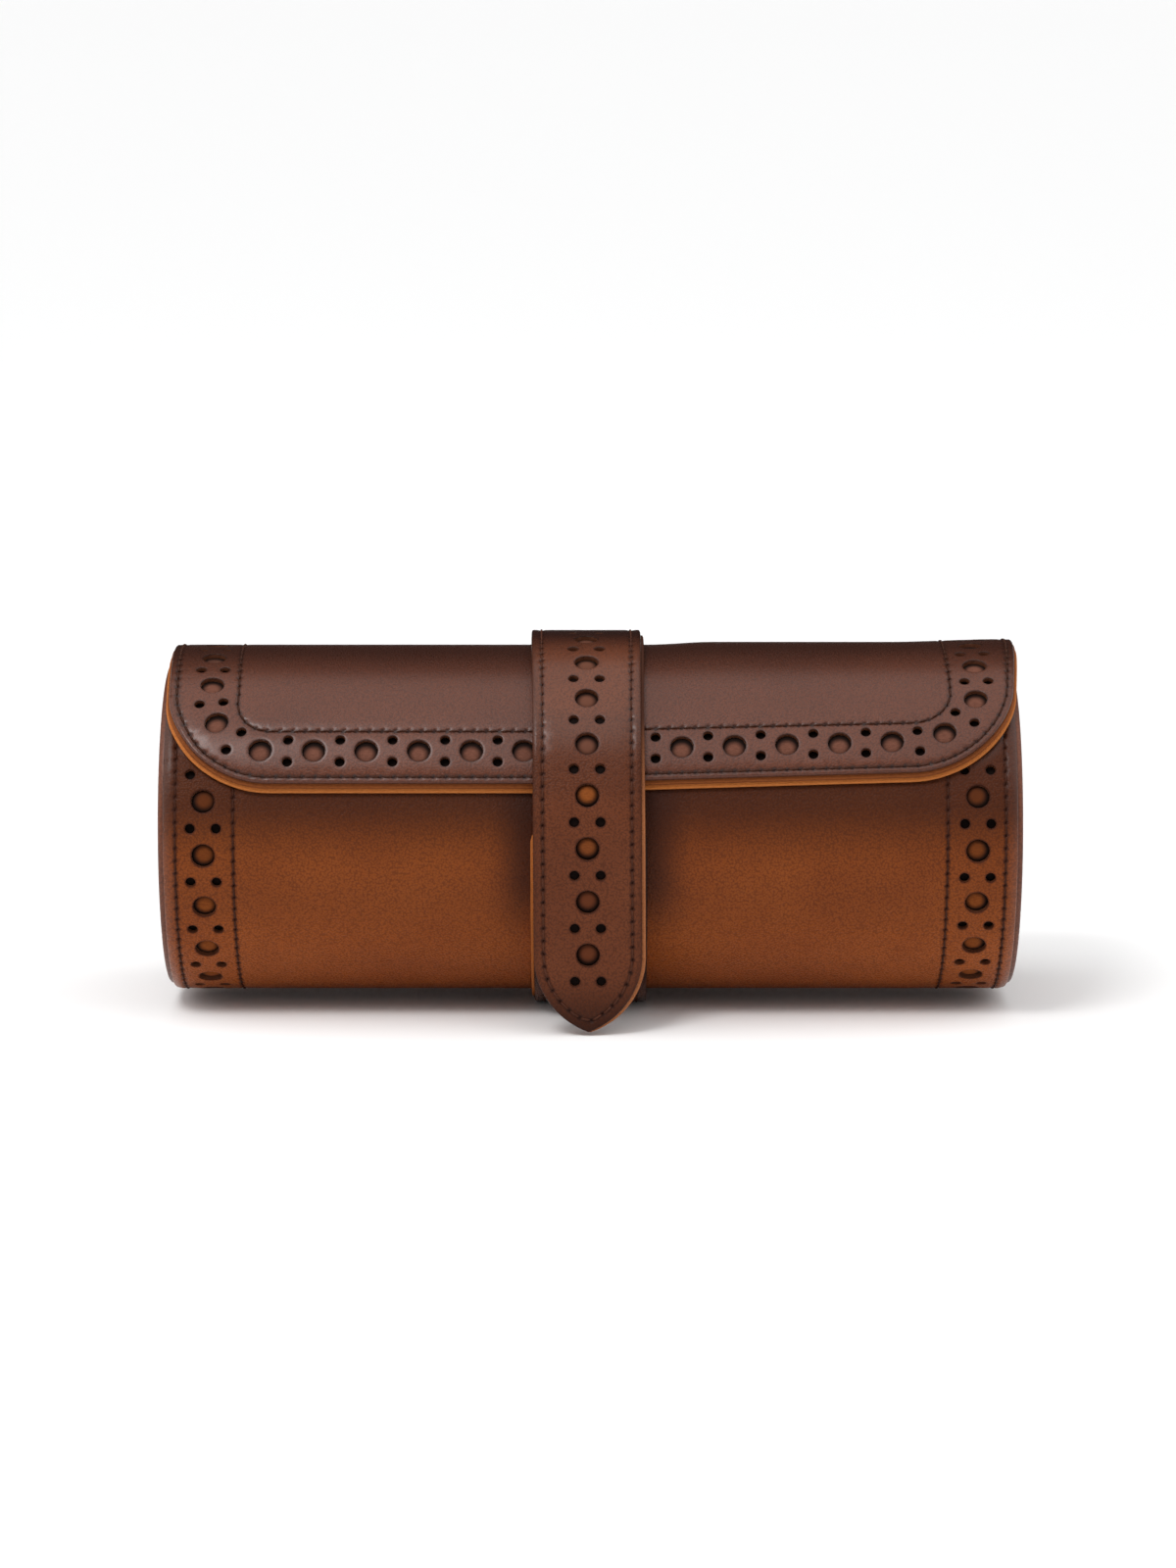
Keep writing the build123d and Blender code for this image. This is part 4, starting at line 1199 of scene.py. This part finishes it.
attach(lower_stitches, "case")

# Magnets: thin plated discs let into both straps, hidden between their leathers. The model's own
# shapes stay.
nickel, nickel_tree, nickel_shader = new_material("nickel_plate")
nickel_noise = node(nickel_tree, "ShaderNodeTexNoise", Scale=900.0, Detail=3.0).outputs["Fac"]
nickel_rough = from_range(nickel_tree, nickel_noise, 0.0, 1.0, To_Min=0.2, To_Max=0.4)
nickel_shade = mix_colours(nickel_tree, nickel_noise, (0.5, 0.5, 0.5), (0.66, 0.65, 0.63))
nickel_tree.links.new(nickel_rough, nickel_shader.inputs["Roughness"])
nickel_tree.links.new(nickel_shade, nickel_shader.inputs["Base Color"])
set_inputs(nickel_shader, Metallic=1.0)
for magnet in ("strap_magnet", "lower_strap_magnet"):
    finish_piece(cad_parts[magnet], "magnet", nickel)

# Flap lining and core: two sheets of undyed tan leather under the flap's dark one. Each reaches a
# little further than the layer above, so their raw edges show as two pale lines along the front.
FLAP_CORE = 0.0012
FLAP_LINING = 0.001
FLAP_HALF = 0.1038
FLAP_EDGE = 158.9
FLAP_START = 24.0  # behind the fold, over the body leather's thinned edge
FLAP_CORNER = 0.0249
FLAP_SIDE_STEP = 0.0004
FLAP_FRONT_STEP = 0.00095
FLAP_LINE_ANGLE = 148.0
FLAP_LINE_INSET = 0.0089
FLAP_LINE_RADIUS = 0.016
FLAP_PITCH = 0.0129
FLAP_PHASE = -0.0034
FLAP_PAIR = 0.0029
HINGE_MARGIN = 0.005
FLAP_ARCS = ((BACK_CENTRE, BACK_RADIUS, FLAP_START, FLAP_EDGE),)
FLAP_FRONT = BACK_RADIUS * math.radians(FLAP_EDGE - FLAP_START)
FOLD_ALONG = BACK_RADIUS * math.radians(FOLD_ANGLE - FLAP_START)
FLAP_LINE_FRONT = BACK_RADIUS * math.radians(FLAP_LINE_ANGLE - FLAP_START)
FLAP_ASKEW = -0.013  # its right part, from here on, lies further back and stands prouder
FLAP_BACK = 0.0036  # at its right end
FLAP_PROUD = 0.0007  # twice: over the strap's right edge, and again towards the right end
FLAP_SPREAD = (0.009, 0.026)  # of its left and right halves, over the top
FLAP_PULLED = (-0.0017, 0.002)  # its left and right borders
FLAP_HALF_STEPS = 36  # of the punched border, each way from the middle of the front
PAST_CORNER = (-0.0018, 0.0007)  # how far the holes of the left and right sides are moved
CORNER_RUN = 0.014
EDGE_KEPT = 0.0055  # the pull ends over this width, so that the outline stays


def on_flap(x, along, lift):
    """Place on the flap: sewn on a little askew, spread over the top, its sides' seams drawn in."""
    run = np.clip((along - FOLD_ALONG) / (FLAP_FRONT - FOLD_ALONG), 0, 1)
    back = FLAP_BACK * np.clip((x - FLAP_ASKEW) / (FLAP_HALF - FLAP_ASKEW), 0, None)
    proud = FLAP_PROUD * (smooth(x, 0.0145, 0.03) + smooth(x, 0.075, FLAP_HALF))
    over_top = smooth(run, 0, 0.3) * smooth(run, 0.95, 0.4)
    spread_out = np.where(x > 0, FLAP_SPREAD[1], FLAP_SPREAD[0]) * over_top
    left_pull = FLAP_PULLED[0] * smooth(run, 0.93, 0.72)
    right_pull = FLAP_PULLED[1] * smooth(run, 0.8, 0.45)
    pulled = np.where(x > 0, right_pull, left_pull)
    pulled *= smooth(np.abs(x), 0.05, 0.085) * smooth(np.abs(x), FLAP_HALF, FLAP_HALF - EDGE_KEPT)
    y, z = on_arcs(FLAP_ARCS, along - back * run, lift + proud * over_top)
    return np.column_stack([x * (1 + spread_out) - pulled, y, z])


def border_point(run, offset, half, front, radius):
    """Point of a border line at a distance from the middle of the front, and off it outwards."""
    straight = half - radius
    turn = min(max((abs(run) - straight) / radius, 0), math.pi / 2)
    up_side = max(abs(run) - straight - radius * math.pi / 2, 0)
    x = min(abs(run), straight) + (radius + offset) * math.sin(turn)
    back = radius - (radius + offset) * math.cos(turn) + up_side
    return math.copysign(x, run), front - back


FLAP_LINE = (FLAP_HALF - FLAP_LINE_INSET, FLAP_LINE_FRONT, FLAP_LINE_RADIUS)
flap_large = []
flap_small = []
for half_step in range(-FLAP_HALF_STEPS, FLAP_HALF_STEPS + 1):
    run = FLAP_PHASE + half_step * FLAP_PITCH / 2
    past_corner = min(max(abs(run) - FLAP_LINE[0] + FLAP_LINE[2], 0) / CORNER_RUN, 1)
    run += past_corner * PAST_CORNER[1 if run > 0 else 0]
    kind, size, offsets = flap_large, LARGE_HOLE, (0.0,)
    if half_step % 2:
        kind, size, offsets = flap_small, SMALL_HOLE, (-FLAP_PAIR, FLAP_PAIR)
    for offset in offsets:
        x, along = border_point(run, offset, *FLAP_LINE)
        if along > FOLD_ALONG + HINGE_MARGIN:
            kind.append((x, along, size))


def flap_layer(name, layer, top, bottom, **more):
    """One of the flap's two inner sheets; layer 1 lies under the dark leather, and 2 under that."""
    half = FLAP_HALF + layer * FLAP_SIDE_STEP
    front = FLAP_FRONT + layer * FLAP_FRONT_STEP
    corner = FLAP_CORNER + layer * FLAP_SIDE_STEP
    outline = rectangle(half, FOLD_ALONG + 0.0002, front, far_round=corner)
    return cut_sheet(name, on_flap, outline, top, bottom, spacing=0.004, edge=0.00035, **more)


flap_core = flap_layer(
    "flap_core_leather", 1, -LEATHER, -LEATHER - FLAP_CORE, under_edge=0.0002,
    relief=floors(flap_large, flap_small, 0.0003, 0.0009), rows=floor_rings(flap_large, flap_small),
    needle=0.0, groove=0.0,
)
FLAP_SHADE_SHIFT = (0.0, 0.0008)  # how far the painted shadow in its holes is moved off their middles
mark_floors(flap_core, flap_large, lambda x, along: FLAP_SHADE_SHIFT)
flap_lining = flap_layer(
    "flap_lining_leather", 2, -LEATHER - FLAP_CORE, -LEATHER - FLAP_CORE - FLAP_LINING, under_edge=0.0003
)
STAINED = (colour(96, 48, 20), colour(130, 72, 34))
# Its hole floors go near black over the top of the flap: painted shade, as on the leather
floor_leather = floor_material(
    "punched_floor", colour(84, 50, 38), colour(110, 70, 56), HOLE_SHADE, STAINED,
    [(colour(32, 16, 10), FOLD_ALONG + 0.047, FOLD_ALONG + 0.056)],
)
core_edge = fibre_material("stained_leather_edge", *STAINED, *EDGE_FIBRE)
lining_edge = fibre_material("pale_leather_edge", colour(142, 78, 32), colour(184, 112, 56), *EDGE_FIBRE)
finish_piece(flap_core, "tan_backing", floor_leather, core_edge, flesh_side)
finish_piece(flap_lining, "tan_backing", lining_edge, lining_edge, tan_face)
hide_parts("flap_core")
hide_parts("flap_lining")
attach(flap_core, "flap")
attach(flap_lining, "flap")

# Flap leather: one sheet of dark brown calf, lapped over the body leather and sewn to it behind the
# fold. Two seams and a punched line between them follow its sides and rounded front corners.
FLAP_OUTER_SEAM = 0.0016
FLAP_INNER_SEAM = (0.0155, 0.01375)  # from the sides and from the front
FLAP_INNER_RADIUS = 0.009
LAP_SEAM = 0.0023
SIDE_SEAM_START = 0.0048
SIDE_ROLL = 0.0024
SIDE_DROP = 0.0005
LAP_RISE = 0.00038
LAP_WIDTH = 0.0045
LAP_UNDER = (0.00075, 0.0075)  # how far its underside is pared at the lap, and over what width


def border_seam(half, front, radius):
    """A seam that follows the flap's two sides and its front."""
    reach = half - radius + radius * math.pi / 2 + front - radius - SIDE_SEAM_START
    runs = np.linspace(-reach, reach, 400)
    return seam_line([border_point(run, 0.0, half, front, radius) for run in runs])


flap_seams = [
    border_seam(FLAP_HALF - FLAP_OUTER_SEAM, FLAP_FRONT - FLAP_OUTER_SEAM, FLAP_CORNER - FLAP_OUTER_SEAM),
    border_seam(FLAP_HALF - FLAP_INNER_SEAM[0], FLAP_FRONT - FLAP_INNER_SEAM[1], FLAP_INNER_RADIUS),
    seam_line([(-FLAP_HALF + 0.003, LAP_SEAM), (FLAP_HALF - 0.003, LAP_SEAM)]),
]


def flap_relief(x, along):
    """Rolled-down sides, and the lap behind the fold."""
    turned = SIDE_DROP * rolled(1 - (FLAP_HALF - np.abs(x)) / SIDE_ROLL)
    return LAP_RISE * smooth(along, LAP_WIDTH, 0.0) - turned


flap_leather = cut_sheet(
    "flap_leather", on_flap, rectangle(FLAP_HALF, 0.0, FLAP_FRONT, 0.002, FLAP_CORNER), 0.0, -LEATHER,
    holes=flap_large + flap_small, rows=flap_seams, relief=flap_relief, edge=0.00045, welt=0.00022,
    under_relief=lambda x, along: LAP_UNDER[0] * np.clip(1 - along / LAP_UNDER[1], 0, 1),
)
# Painted shade over the top of the flap, towards the fold
flap_finish = leather_material(
    "flap_leather", colour(78, 39, 24), colour(97, 51, 32), colour(36, 15, 8), 0.0005, 0.00015, 0.26,
    0.0026, (0.2, 0.6, 0.8), [(0.82, ("Y", FOLD_ALONG + 0.045, FOLD_ALONG + 0.068))], 0.11,
    wax=WAX, waxed=[("Y", FOLD_ALONG + 0.068, FOLD_ALONG + 0.046)],
)
flap_thread = thread_material("flap_thread", colour(38, 17, 9), colour(66, 34, 18))
flap_stitches = sew("flap_stitches", on_flap, flap_seams, -0.00004, flap_relief)
finish_piece(flap_leather, "flap_leather", flap_finish, dark_edge, flesh_side)
finish_piece(flap_stitches, "flap_leather", flap_thread)
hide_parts("flap_outer_leather")


for piece in (flap_leather, flap_stitches):
    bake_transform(piece)

# Closing strap: a tongue of the dark calf over a thick tan backing, edge-stitched and punched along
# its middle. Its rear end is sewn down on the flap, and its point hangs over the lower strap.
STRAP_LEATHER = 0.0014
STRAP_BACKING = 0.002
STRAP_GAP = 0.0003
STRAP_HALF = 0.0133
STRAP_MARGIN = 0.0004
STRAP_SHIFT = 0.0005  # of the backing, to the right
STRAP_START = 45.0
STRAP_FOLD = 58.0
STRAP_TIP_Z = 0.001
STRAP_POINT = 0.019
STRAP_BACKING_TIP = 0.0003
STRAP_SEAM = 0.0024
STRAP_PITCH = 0.0132
SEWN_SEAM_IN = 0.001
STRAP_LAST_HOLE = 0.0193
STRAP_HOLE_MARGIN = 0.006
STRAP_SKEW = (-0.0013, 0.0008)  # sideways at its rear end, and its drift from there to its point
STRAP_WIDER = 0.03  # over the flap
STRAP_SIDE_STEPS = 90
STRAP_POINT_STEPS = 30
STRAP_REAR_STEPS = 17
LOWER_OVER = max(BACK_RADIUS, LOWER_RADIUS + BACK_CENTRE[0])
STRAP_RADIUS = LOWER_OVER + STRAP_GAP + STRAP_BACKING + STRAP_LEATHER
STRAP_ARCS = ((BACK_CENTRE, STRAP_RADIUS, STRAP_START, 180.0),)
STRAP_ARC = STRAP_RADIUS * math.radians(180.0 - STRAP_START)
STRAP_LENGTH = STRAP_ARC + BACK_CENTRE[1] - STRAP_TIP_Z
SEWN_END = STRAP_RADIUS * math.radians(STRAP_FOLD - STRAP_START)


def on_strap(x, along, lift):
    """Place on the strap: it runs a little askew, and its sewn end is drawn down on the flap."""
    y, z = on_arcs(STRAP_ARCS, along, lift - STRAP_GAP * 0.8 * np.clip(1.35 - along / SEWN_END, 0, 1))
    wider = 1 + STRAP_WIDER * smooth(along, 0.5 * STRAP_LENGTH, 0.25 * STRAP_LENGTH)
    return np.column_stack([x * wider + STRAP_SKEW[0] + STRAP_SKEW[1] * along / STRAP_LENGTH, y, z])


def strap_outline(half, tip):
    """Outline of the strap: straight sides, a pointed end of two arcs and a square sewn end."""
    def outline(inset):
        width = half - inset
        radius = (half ** 2 + STRAP_POINT ** 2) / (2 * half)
        shoulder = tip - STRAP_POINT
        reach = math.acos((radius - half) / (radius - inset))
        turn = np.linspace(0, reach, STRAP_POINT_STEPS)
        arc_x = (half - radius) + (radius - inset) * np.cos(turn)
        arc_along = shoulder + (radius - inset) * np.sin(turn)
        straight = np.linspace(inset, shoulder, STRAP_SIDE_STEPS + 1)[:-1]
        side = np.column_stack([
            np.append(np.full(STRAP_SIDE_STEPS, width), arc_x), np.append(straight, arc_along),
        ])
        mirrored = side[::-1][1:] * (-1, 1)
        rear_x = np.linspace(-width, width, STRAP_REAR_STEPS + 1)[1:-1]
        return np.vstack([side, mirrored, np.column_stack([rear_x, np.full(len(rear_x), inset)])])
    return outline


strap_large = []
strap_small = []
half_step = -1
while STRAP_LAST_HOLE + half_step * STRAP_PITCH / 2 < STRAP_LENGTH - SEWN_END - STRAP_HOLE_MARGIN:
    along = STRAP_LENGTH - STRAP_LAST_HOLE - half_step * STRAP_PITCH / 2
    if half_step % 2 == 0:
        strap_large.append((0.0, along, LARGE_HOLE))
    else:
        strap_small += [(-BAND_PAIR, along, SMALL_HOLE), (BAND_PAIR, along, SMALL_HOLE)]
    half_step += 1
strap_edge = strap_outline(STRAP_HALF, STRAP_LENGTH)
strap_both_sides = 2 * (STRAP_SIDE_STEPS + STRAP_POINT_STEPS)
strap_reach = STRAP_HALF - STRAP_SEAM
strap_seams = [seam_line(strap_edge(STRAP_SEAM)[2:strap_both_sides - 2])]
for along in (STRAP_SEAM, SEWN_END - SEWN_SEAM_IN):
    strap_seams.append(seam_line([(-strap_reach, along), (strap_reach, along)]))
strap_leather = cut_sheet(
    "strap_leather", on_strap, strap_edge, 0.0, -STRAP_LEATHER, holes=strap_large + strap_small,
    rows=strap_seams, edge=0.00055, spacing=0.002,
)


def shift_at(along):
    """How far to the right the strap's backing was glued."""
    return STRAP_SHIFT * (0.6 + 0.4 * np.clip(along / STRAP_LENGTH, 0, 1))


def shifted(x, along, lift):
    """Place on the strap for its backing."""
    return on_strap(x + shift_at(along), along, lift)


floor_large = [(x - shift_at(along), along, radius) for x, along, radius in strap_large]
floor_small = [(x - shift_at(along), along, radius) for x, along, radius in strap_small]
strap_floors = floors(floor_large, floor_small, 0.0006, -0.0001)
strap_backing = cut_sheet(
    "strap_tan_leather", shifted, strap_outline(STRAP_HALF + STRAP_MARGIN, STRAP_LENGTH + STRAP_BACKING_TIP),
    -STRAP_LEATHER, -STRAP_LEATHER - STRAP_BACKING, edge=0.0004, under_edge=0.0005, spacing=0.003,
    rows=floor_rings(floor_large, floor_small), needle=0.0, groove=0.0,
    relief=lambda x, along: strap_floors(x, along) + 0.00005,
)
STRAP_TURN = STRAP_LENGTH - 0.065  # the shaded side of its holes changes here
mark_floors(strap_backing, floor_large, lambda x, along: (0.0, 0.0006 if along < STRAP_TURN else -0.0004))
strap_stitches = sew("strap_stitches", on_strap, strap_seams, THREAD_LIFT)
STRAP_BROWNED = (colour(62, 34, 23), STRAP_LENGTH - 0.08, STRAP_LENGTH - 0.052)  # its edge up there
# Painted light on its hole floors: a greyer brown in the upper ones as painted sheen, near black at the very
# top and darker brown towards the point as painted shade
strap_floor = floor_material(
    "strap_floor", colour(100, 50, 17), colour(134, 72, 28), HOLE_SHADE,
    (colour(124, 72, 42), colour(166, 106, 68)),
    [
        (colour(92, 56, 42), STRAP_LENGTH - 0.068, STRAP_LENGTH - 0.064),
        (colour(30, 15, 9), 0.039, 0.048),
        (colour(84, 42, 22), STRAP_LENGTH - 0.036, STRAP_LENGTH - 0.054),
    ],
    [STRAP_BROWNED],
)
finish_piece(strap_leather, "flap_leather", strap_finish, dark_edge, flesh_side)
strap_side = fibre_material(
    "strap_backing_edge", colour(130, 78, 42), colour(170, 112, 68), *EDGE_FIBRE, "flat",
    zones=[STRAP_BROWNED],
)
finish_piece(strap_backing, "tan_backing", strap_floor, strap_side, raw_edge)
finish_piece(strap_stitches, "flap_leather", strap_thread)
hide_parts("strap_outer_leather", "strap_patch_leather")
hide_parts("strap_backing", "strap_patch_backing")
for piece in (strap_leather, strap_backing, strap_stitches):
    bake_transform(piece)

# Hinge cover: a strip of the lining's suede pasted inside along the fold, from the tray's lining to
# the flap's. It bridges the two stiff edges.
GUSSET_HALF = 0.0995
GUSSET_START = 29.0
GUSSET_END = 47.0
GUSSET_ARCS = ((BACK_CENTRE, BACK_RADIUS, GUSSET_START, GUSSET_END),)
GUSSET_LENGTH = BACK_RADIUS * math.radians(GUSSET_END - GUSSET_START)
GUSSET = 0.0005
GUSSET_OUT = -0.00342
gusset = cut_sheet(
    "hinge_cover", bent(GUSSET_ARCS), rectangle(GUSSET_HALF, 0.0, GUSSET_LENGTH, 0.002, 0.002),
    GUSSET_OUT, GUSSET_OUT - GUSSET, edge=0.0001, under_edge=0.0003, spacing=0.0016,
)
finish_piece(gusset, "suede_lining", lining_suede, lining_suede, lining_suede)
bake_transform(gusset)

# Cushions: three oval foam pads for wrist watches, each sewn into a suede cover. The cover is
# inflated a little in a simulation, then drawn in at its two end seams, where a fine cord is sewn in.
CUSHION_FORM = ((0.0, 0.58, 0.84, 0.95, 1.0), (1.0, 0.985, 0.94, 0.86, 0.74))
CUSHION_RINGS = 21
OVAL_STEP = 10
CUSHION_LENGTH = 0.98  # of its solid's
CUSHION_START = 0.95  # of its full size, before it is inflated
CUSHION_CAP = 0.0015
CUSHION_VOXEL = 0.004
CUSHION_PRESSURE = 4.0
CUSHION_STEPS = 20
CUSHION_FLAT = 0.001
CUSHION_SEAM = 0.8  # of the way from the middle to each end
CORD_RADIUS = 0.0008
CORD_STEPS = 120
CORD_SIDES = 8
SEAM_DRAW = (0.0011, 0.0012)  # how deep each end seam is drawn in, and how wide
PUCKER = (0.00014, 0.0035)  # and the puckers beside it
PUCKER_WAVES = (23, 37)  # round the seam
cushion_low, cushion_high = (np.array(corner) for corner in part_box("cushion_centre"))
cushion_middle = (cushion_low + cushion_high) / 2
cushion_half = (cushion_high - cushion_low) / 2


def oval(size):
    """Section of a cushion: half circles front and back, with a short straight between them."""
    width, height = cushion_half[1] * size, cushion_half[2] * size
    radius = height - CUSHION_FLAT / 2 * size
    turn = np.radians(np.arange(0, 360, OVAL_STEP) + OVAL_STEP / 2)
    return np.column_stack([
        radius * np.cos(turn) + np.sign(np.cos(turn)) * (width - radius),
        radius * np.sin(turn) + np.sign(np.sin(turn)) * (height - radius),
    ])


def baked(piece):
    """The piece's mesh as its modifiers leave it, which then take the old mesh's place."""
    depsgraph = bpy.context.evaluated_depsgraph_get()
    shown = bpy.data.meshes.new_from_object(piece.evaluated_get(depsgraph))
    piece.modifiers.clear()
    piece.data = shown


def spots_of(mesh):
    """A mesh's points as an array."""
    points = np.empty(len(mesh.vertices) * 3)
    mesh.vertices.foreach_get("co", points)
    return points.reshape(-1, 3)


cushion_sections = []
for reach in np.linspace(-1, 1, CUSHION_RINGS):
    section = oval(CUSHION_START * np.interp(abs(reach), *CUSHION_FORM)) + cushion_middle[1:]
    cushion_sections.append((cushion_middle[0] + reach * cushion_half[0] * CUSHION_LENGTH, section))
cushion = long_form("cushion_centre_cover", cushion_sections)
remesh = cushion.modifiers.new("even_mesh", "REMESH")
remesh.mode = "VOXEL"
remesh.voxel_size = CUSHION_VOXEL
baked(cushion)
start_points = spots_of(cushion.data)
cloth = cushion.modifiers.new("inflate", "CLOTH")
cloth.settings.use_pressure = True
cloth.settings.uniform_pressure_force = CUSHION_PRESSURE
cloth.settings.effector_weights.gravity = 0.0
for step in range(1, CUSHION_STEPS + 1):
    bpy.context.scene.frame_set(step)
baked(cushion)
bpy.context.scene.frame_set(1)
moved = spots_of(cushion.data) - start_points
reach = np.linalg.norm(moved, axis=1)
kept = np.minimum(reach, CUSHION_CAP) / np.maximum(reach, 1e-9)
cushion.data.vertices.foreach_set("co", (start_points + moved * kept[:, None]).ravel())
smoother = cushion.modifiers.new("smoother", "SUBSURF")
smoother.levels = 2
smoother.render_levels = 2
baked(cushion)

cushion_points = spots_of(cushion.data)
off_middle = cushion_points - cushion_middle
off_middle[:, 0] = 0
out_from_axis = off_middle / np.maximum(np.linalg.norm(off_middle, axis=1), 1e-6)[:, None]
seam_off = np.abs(cushion_points[:, 0] - cushion_middle[0]) - CUSHION_SEAM * cushion_half[0]
around = np.arctan2(off_middle[:, 2], off_middle[:, 1])
pucker = np.sin(around * PUCKER_WAVES[0]) + 0.6 * np.sin(around * PUCKER_WAVES[1] + 1.3)
draw_in = SEAM_DRAW[0] * bump_of(seam_off, SEAM_DRAW[1])
draw_in += PUCKER[0] * pucker * np.exp(-np.abs(seam_off) / PUCKER[1])
cushion_points -= out_from_axis * draw_in[:, None]
cushion.data.vertices.foreach_set("co", cushion_points.ravel())
cushion.data.update()
cushion.data.shade_smooth()

cushion_polygons = [tuple(polygon.vertices) for polygon in cushion.data.polygons]
cushion_tree = bvhtree.BVHTree.FromPolygons(cushion_points.tolist(), cushion_polygons)


def seam_cord(name, x):
    """A cord sewn into the cushion's seam, all the way round it."""
    points = []
    centre = Vector((x, cushion_middle[1], cushion_middle[2]))
    for turn in np.linspace(0, 2 * math.pi, CORD_STEPS, endpoint=False):
        away = Vector((0, math.cos(turn), math.sin(turn)))
        hit = cushion_tree.ray_cast(centre + away * 0.1, -away)[0]
        middle = hit - away * CORD_RADIUS * 0.1
        for side in np.linspace(0, 2 * math.pi, CORD_SIDES, endpoint=False):
            off = Vector((math.cos(side), 0, 0)) + away * math.sin(side)
            points.append(middle + off * CORD_RADIUS)
    return new_piece(name, points, tube_faces(CORD_STEPS, CORD_SIDES, closed=True))


cushion_suede = suede_material("cushion_suede", colour(176, 140, 104), colour(208, 174, 136))
for bay_name in ("left", "centre", "right"):
    node_name = f"cushion_{bay_name}"
    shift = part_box(node_name)[0].x - cushion_low[0]
    if bay_name == "centre":
        pad = cushion
    else:
        pad = bpy.data.objects.new(f"{node_name}_cover", cushion.data.copy())
        bpy.context.scene.collection.objects.link(pad)
        pad.data.vertices.foreach_set("co", (cushion_points + (shift, 0, 0)).ravel())
        pad.data.update()
    cords = []
    for side_name, side in SIDES:
        seam_x = cushion_middle[0] + side * CUSHION_SEAM * cushion_half[0]
        cord = seam_cord(f"{node_name}_cord_{side_name}", seam_x)
        cord.data.transform(Matrix.Translation((shift, 0, 0)))
        cords.append(cord)
    finish_piece(pad, "cushion_suede", cushion_suede)
    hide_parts(node_name)
    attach(pad, node_name)
    for cord in cords:
        finish_piece(cord, "cushion_suede", cushion_suede)
        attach(cord, node_name)
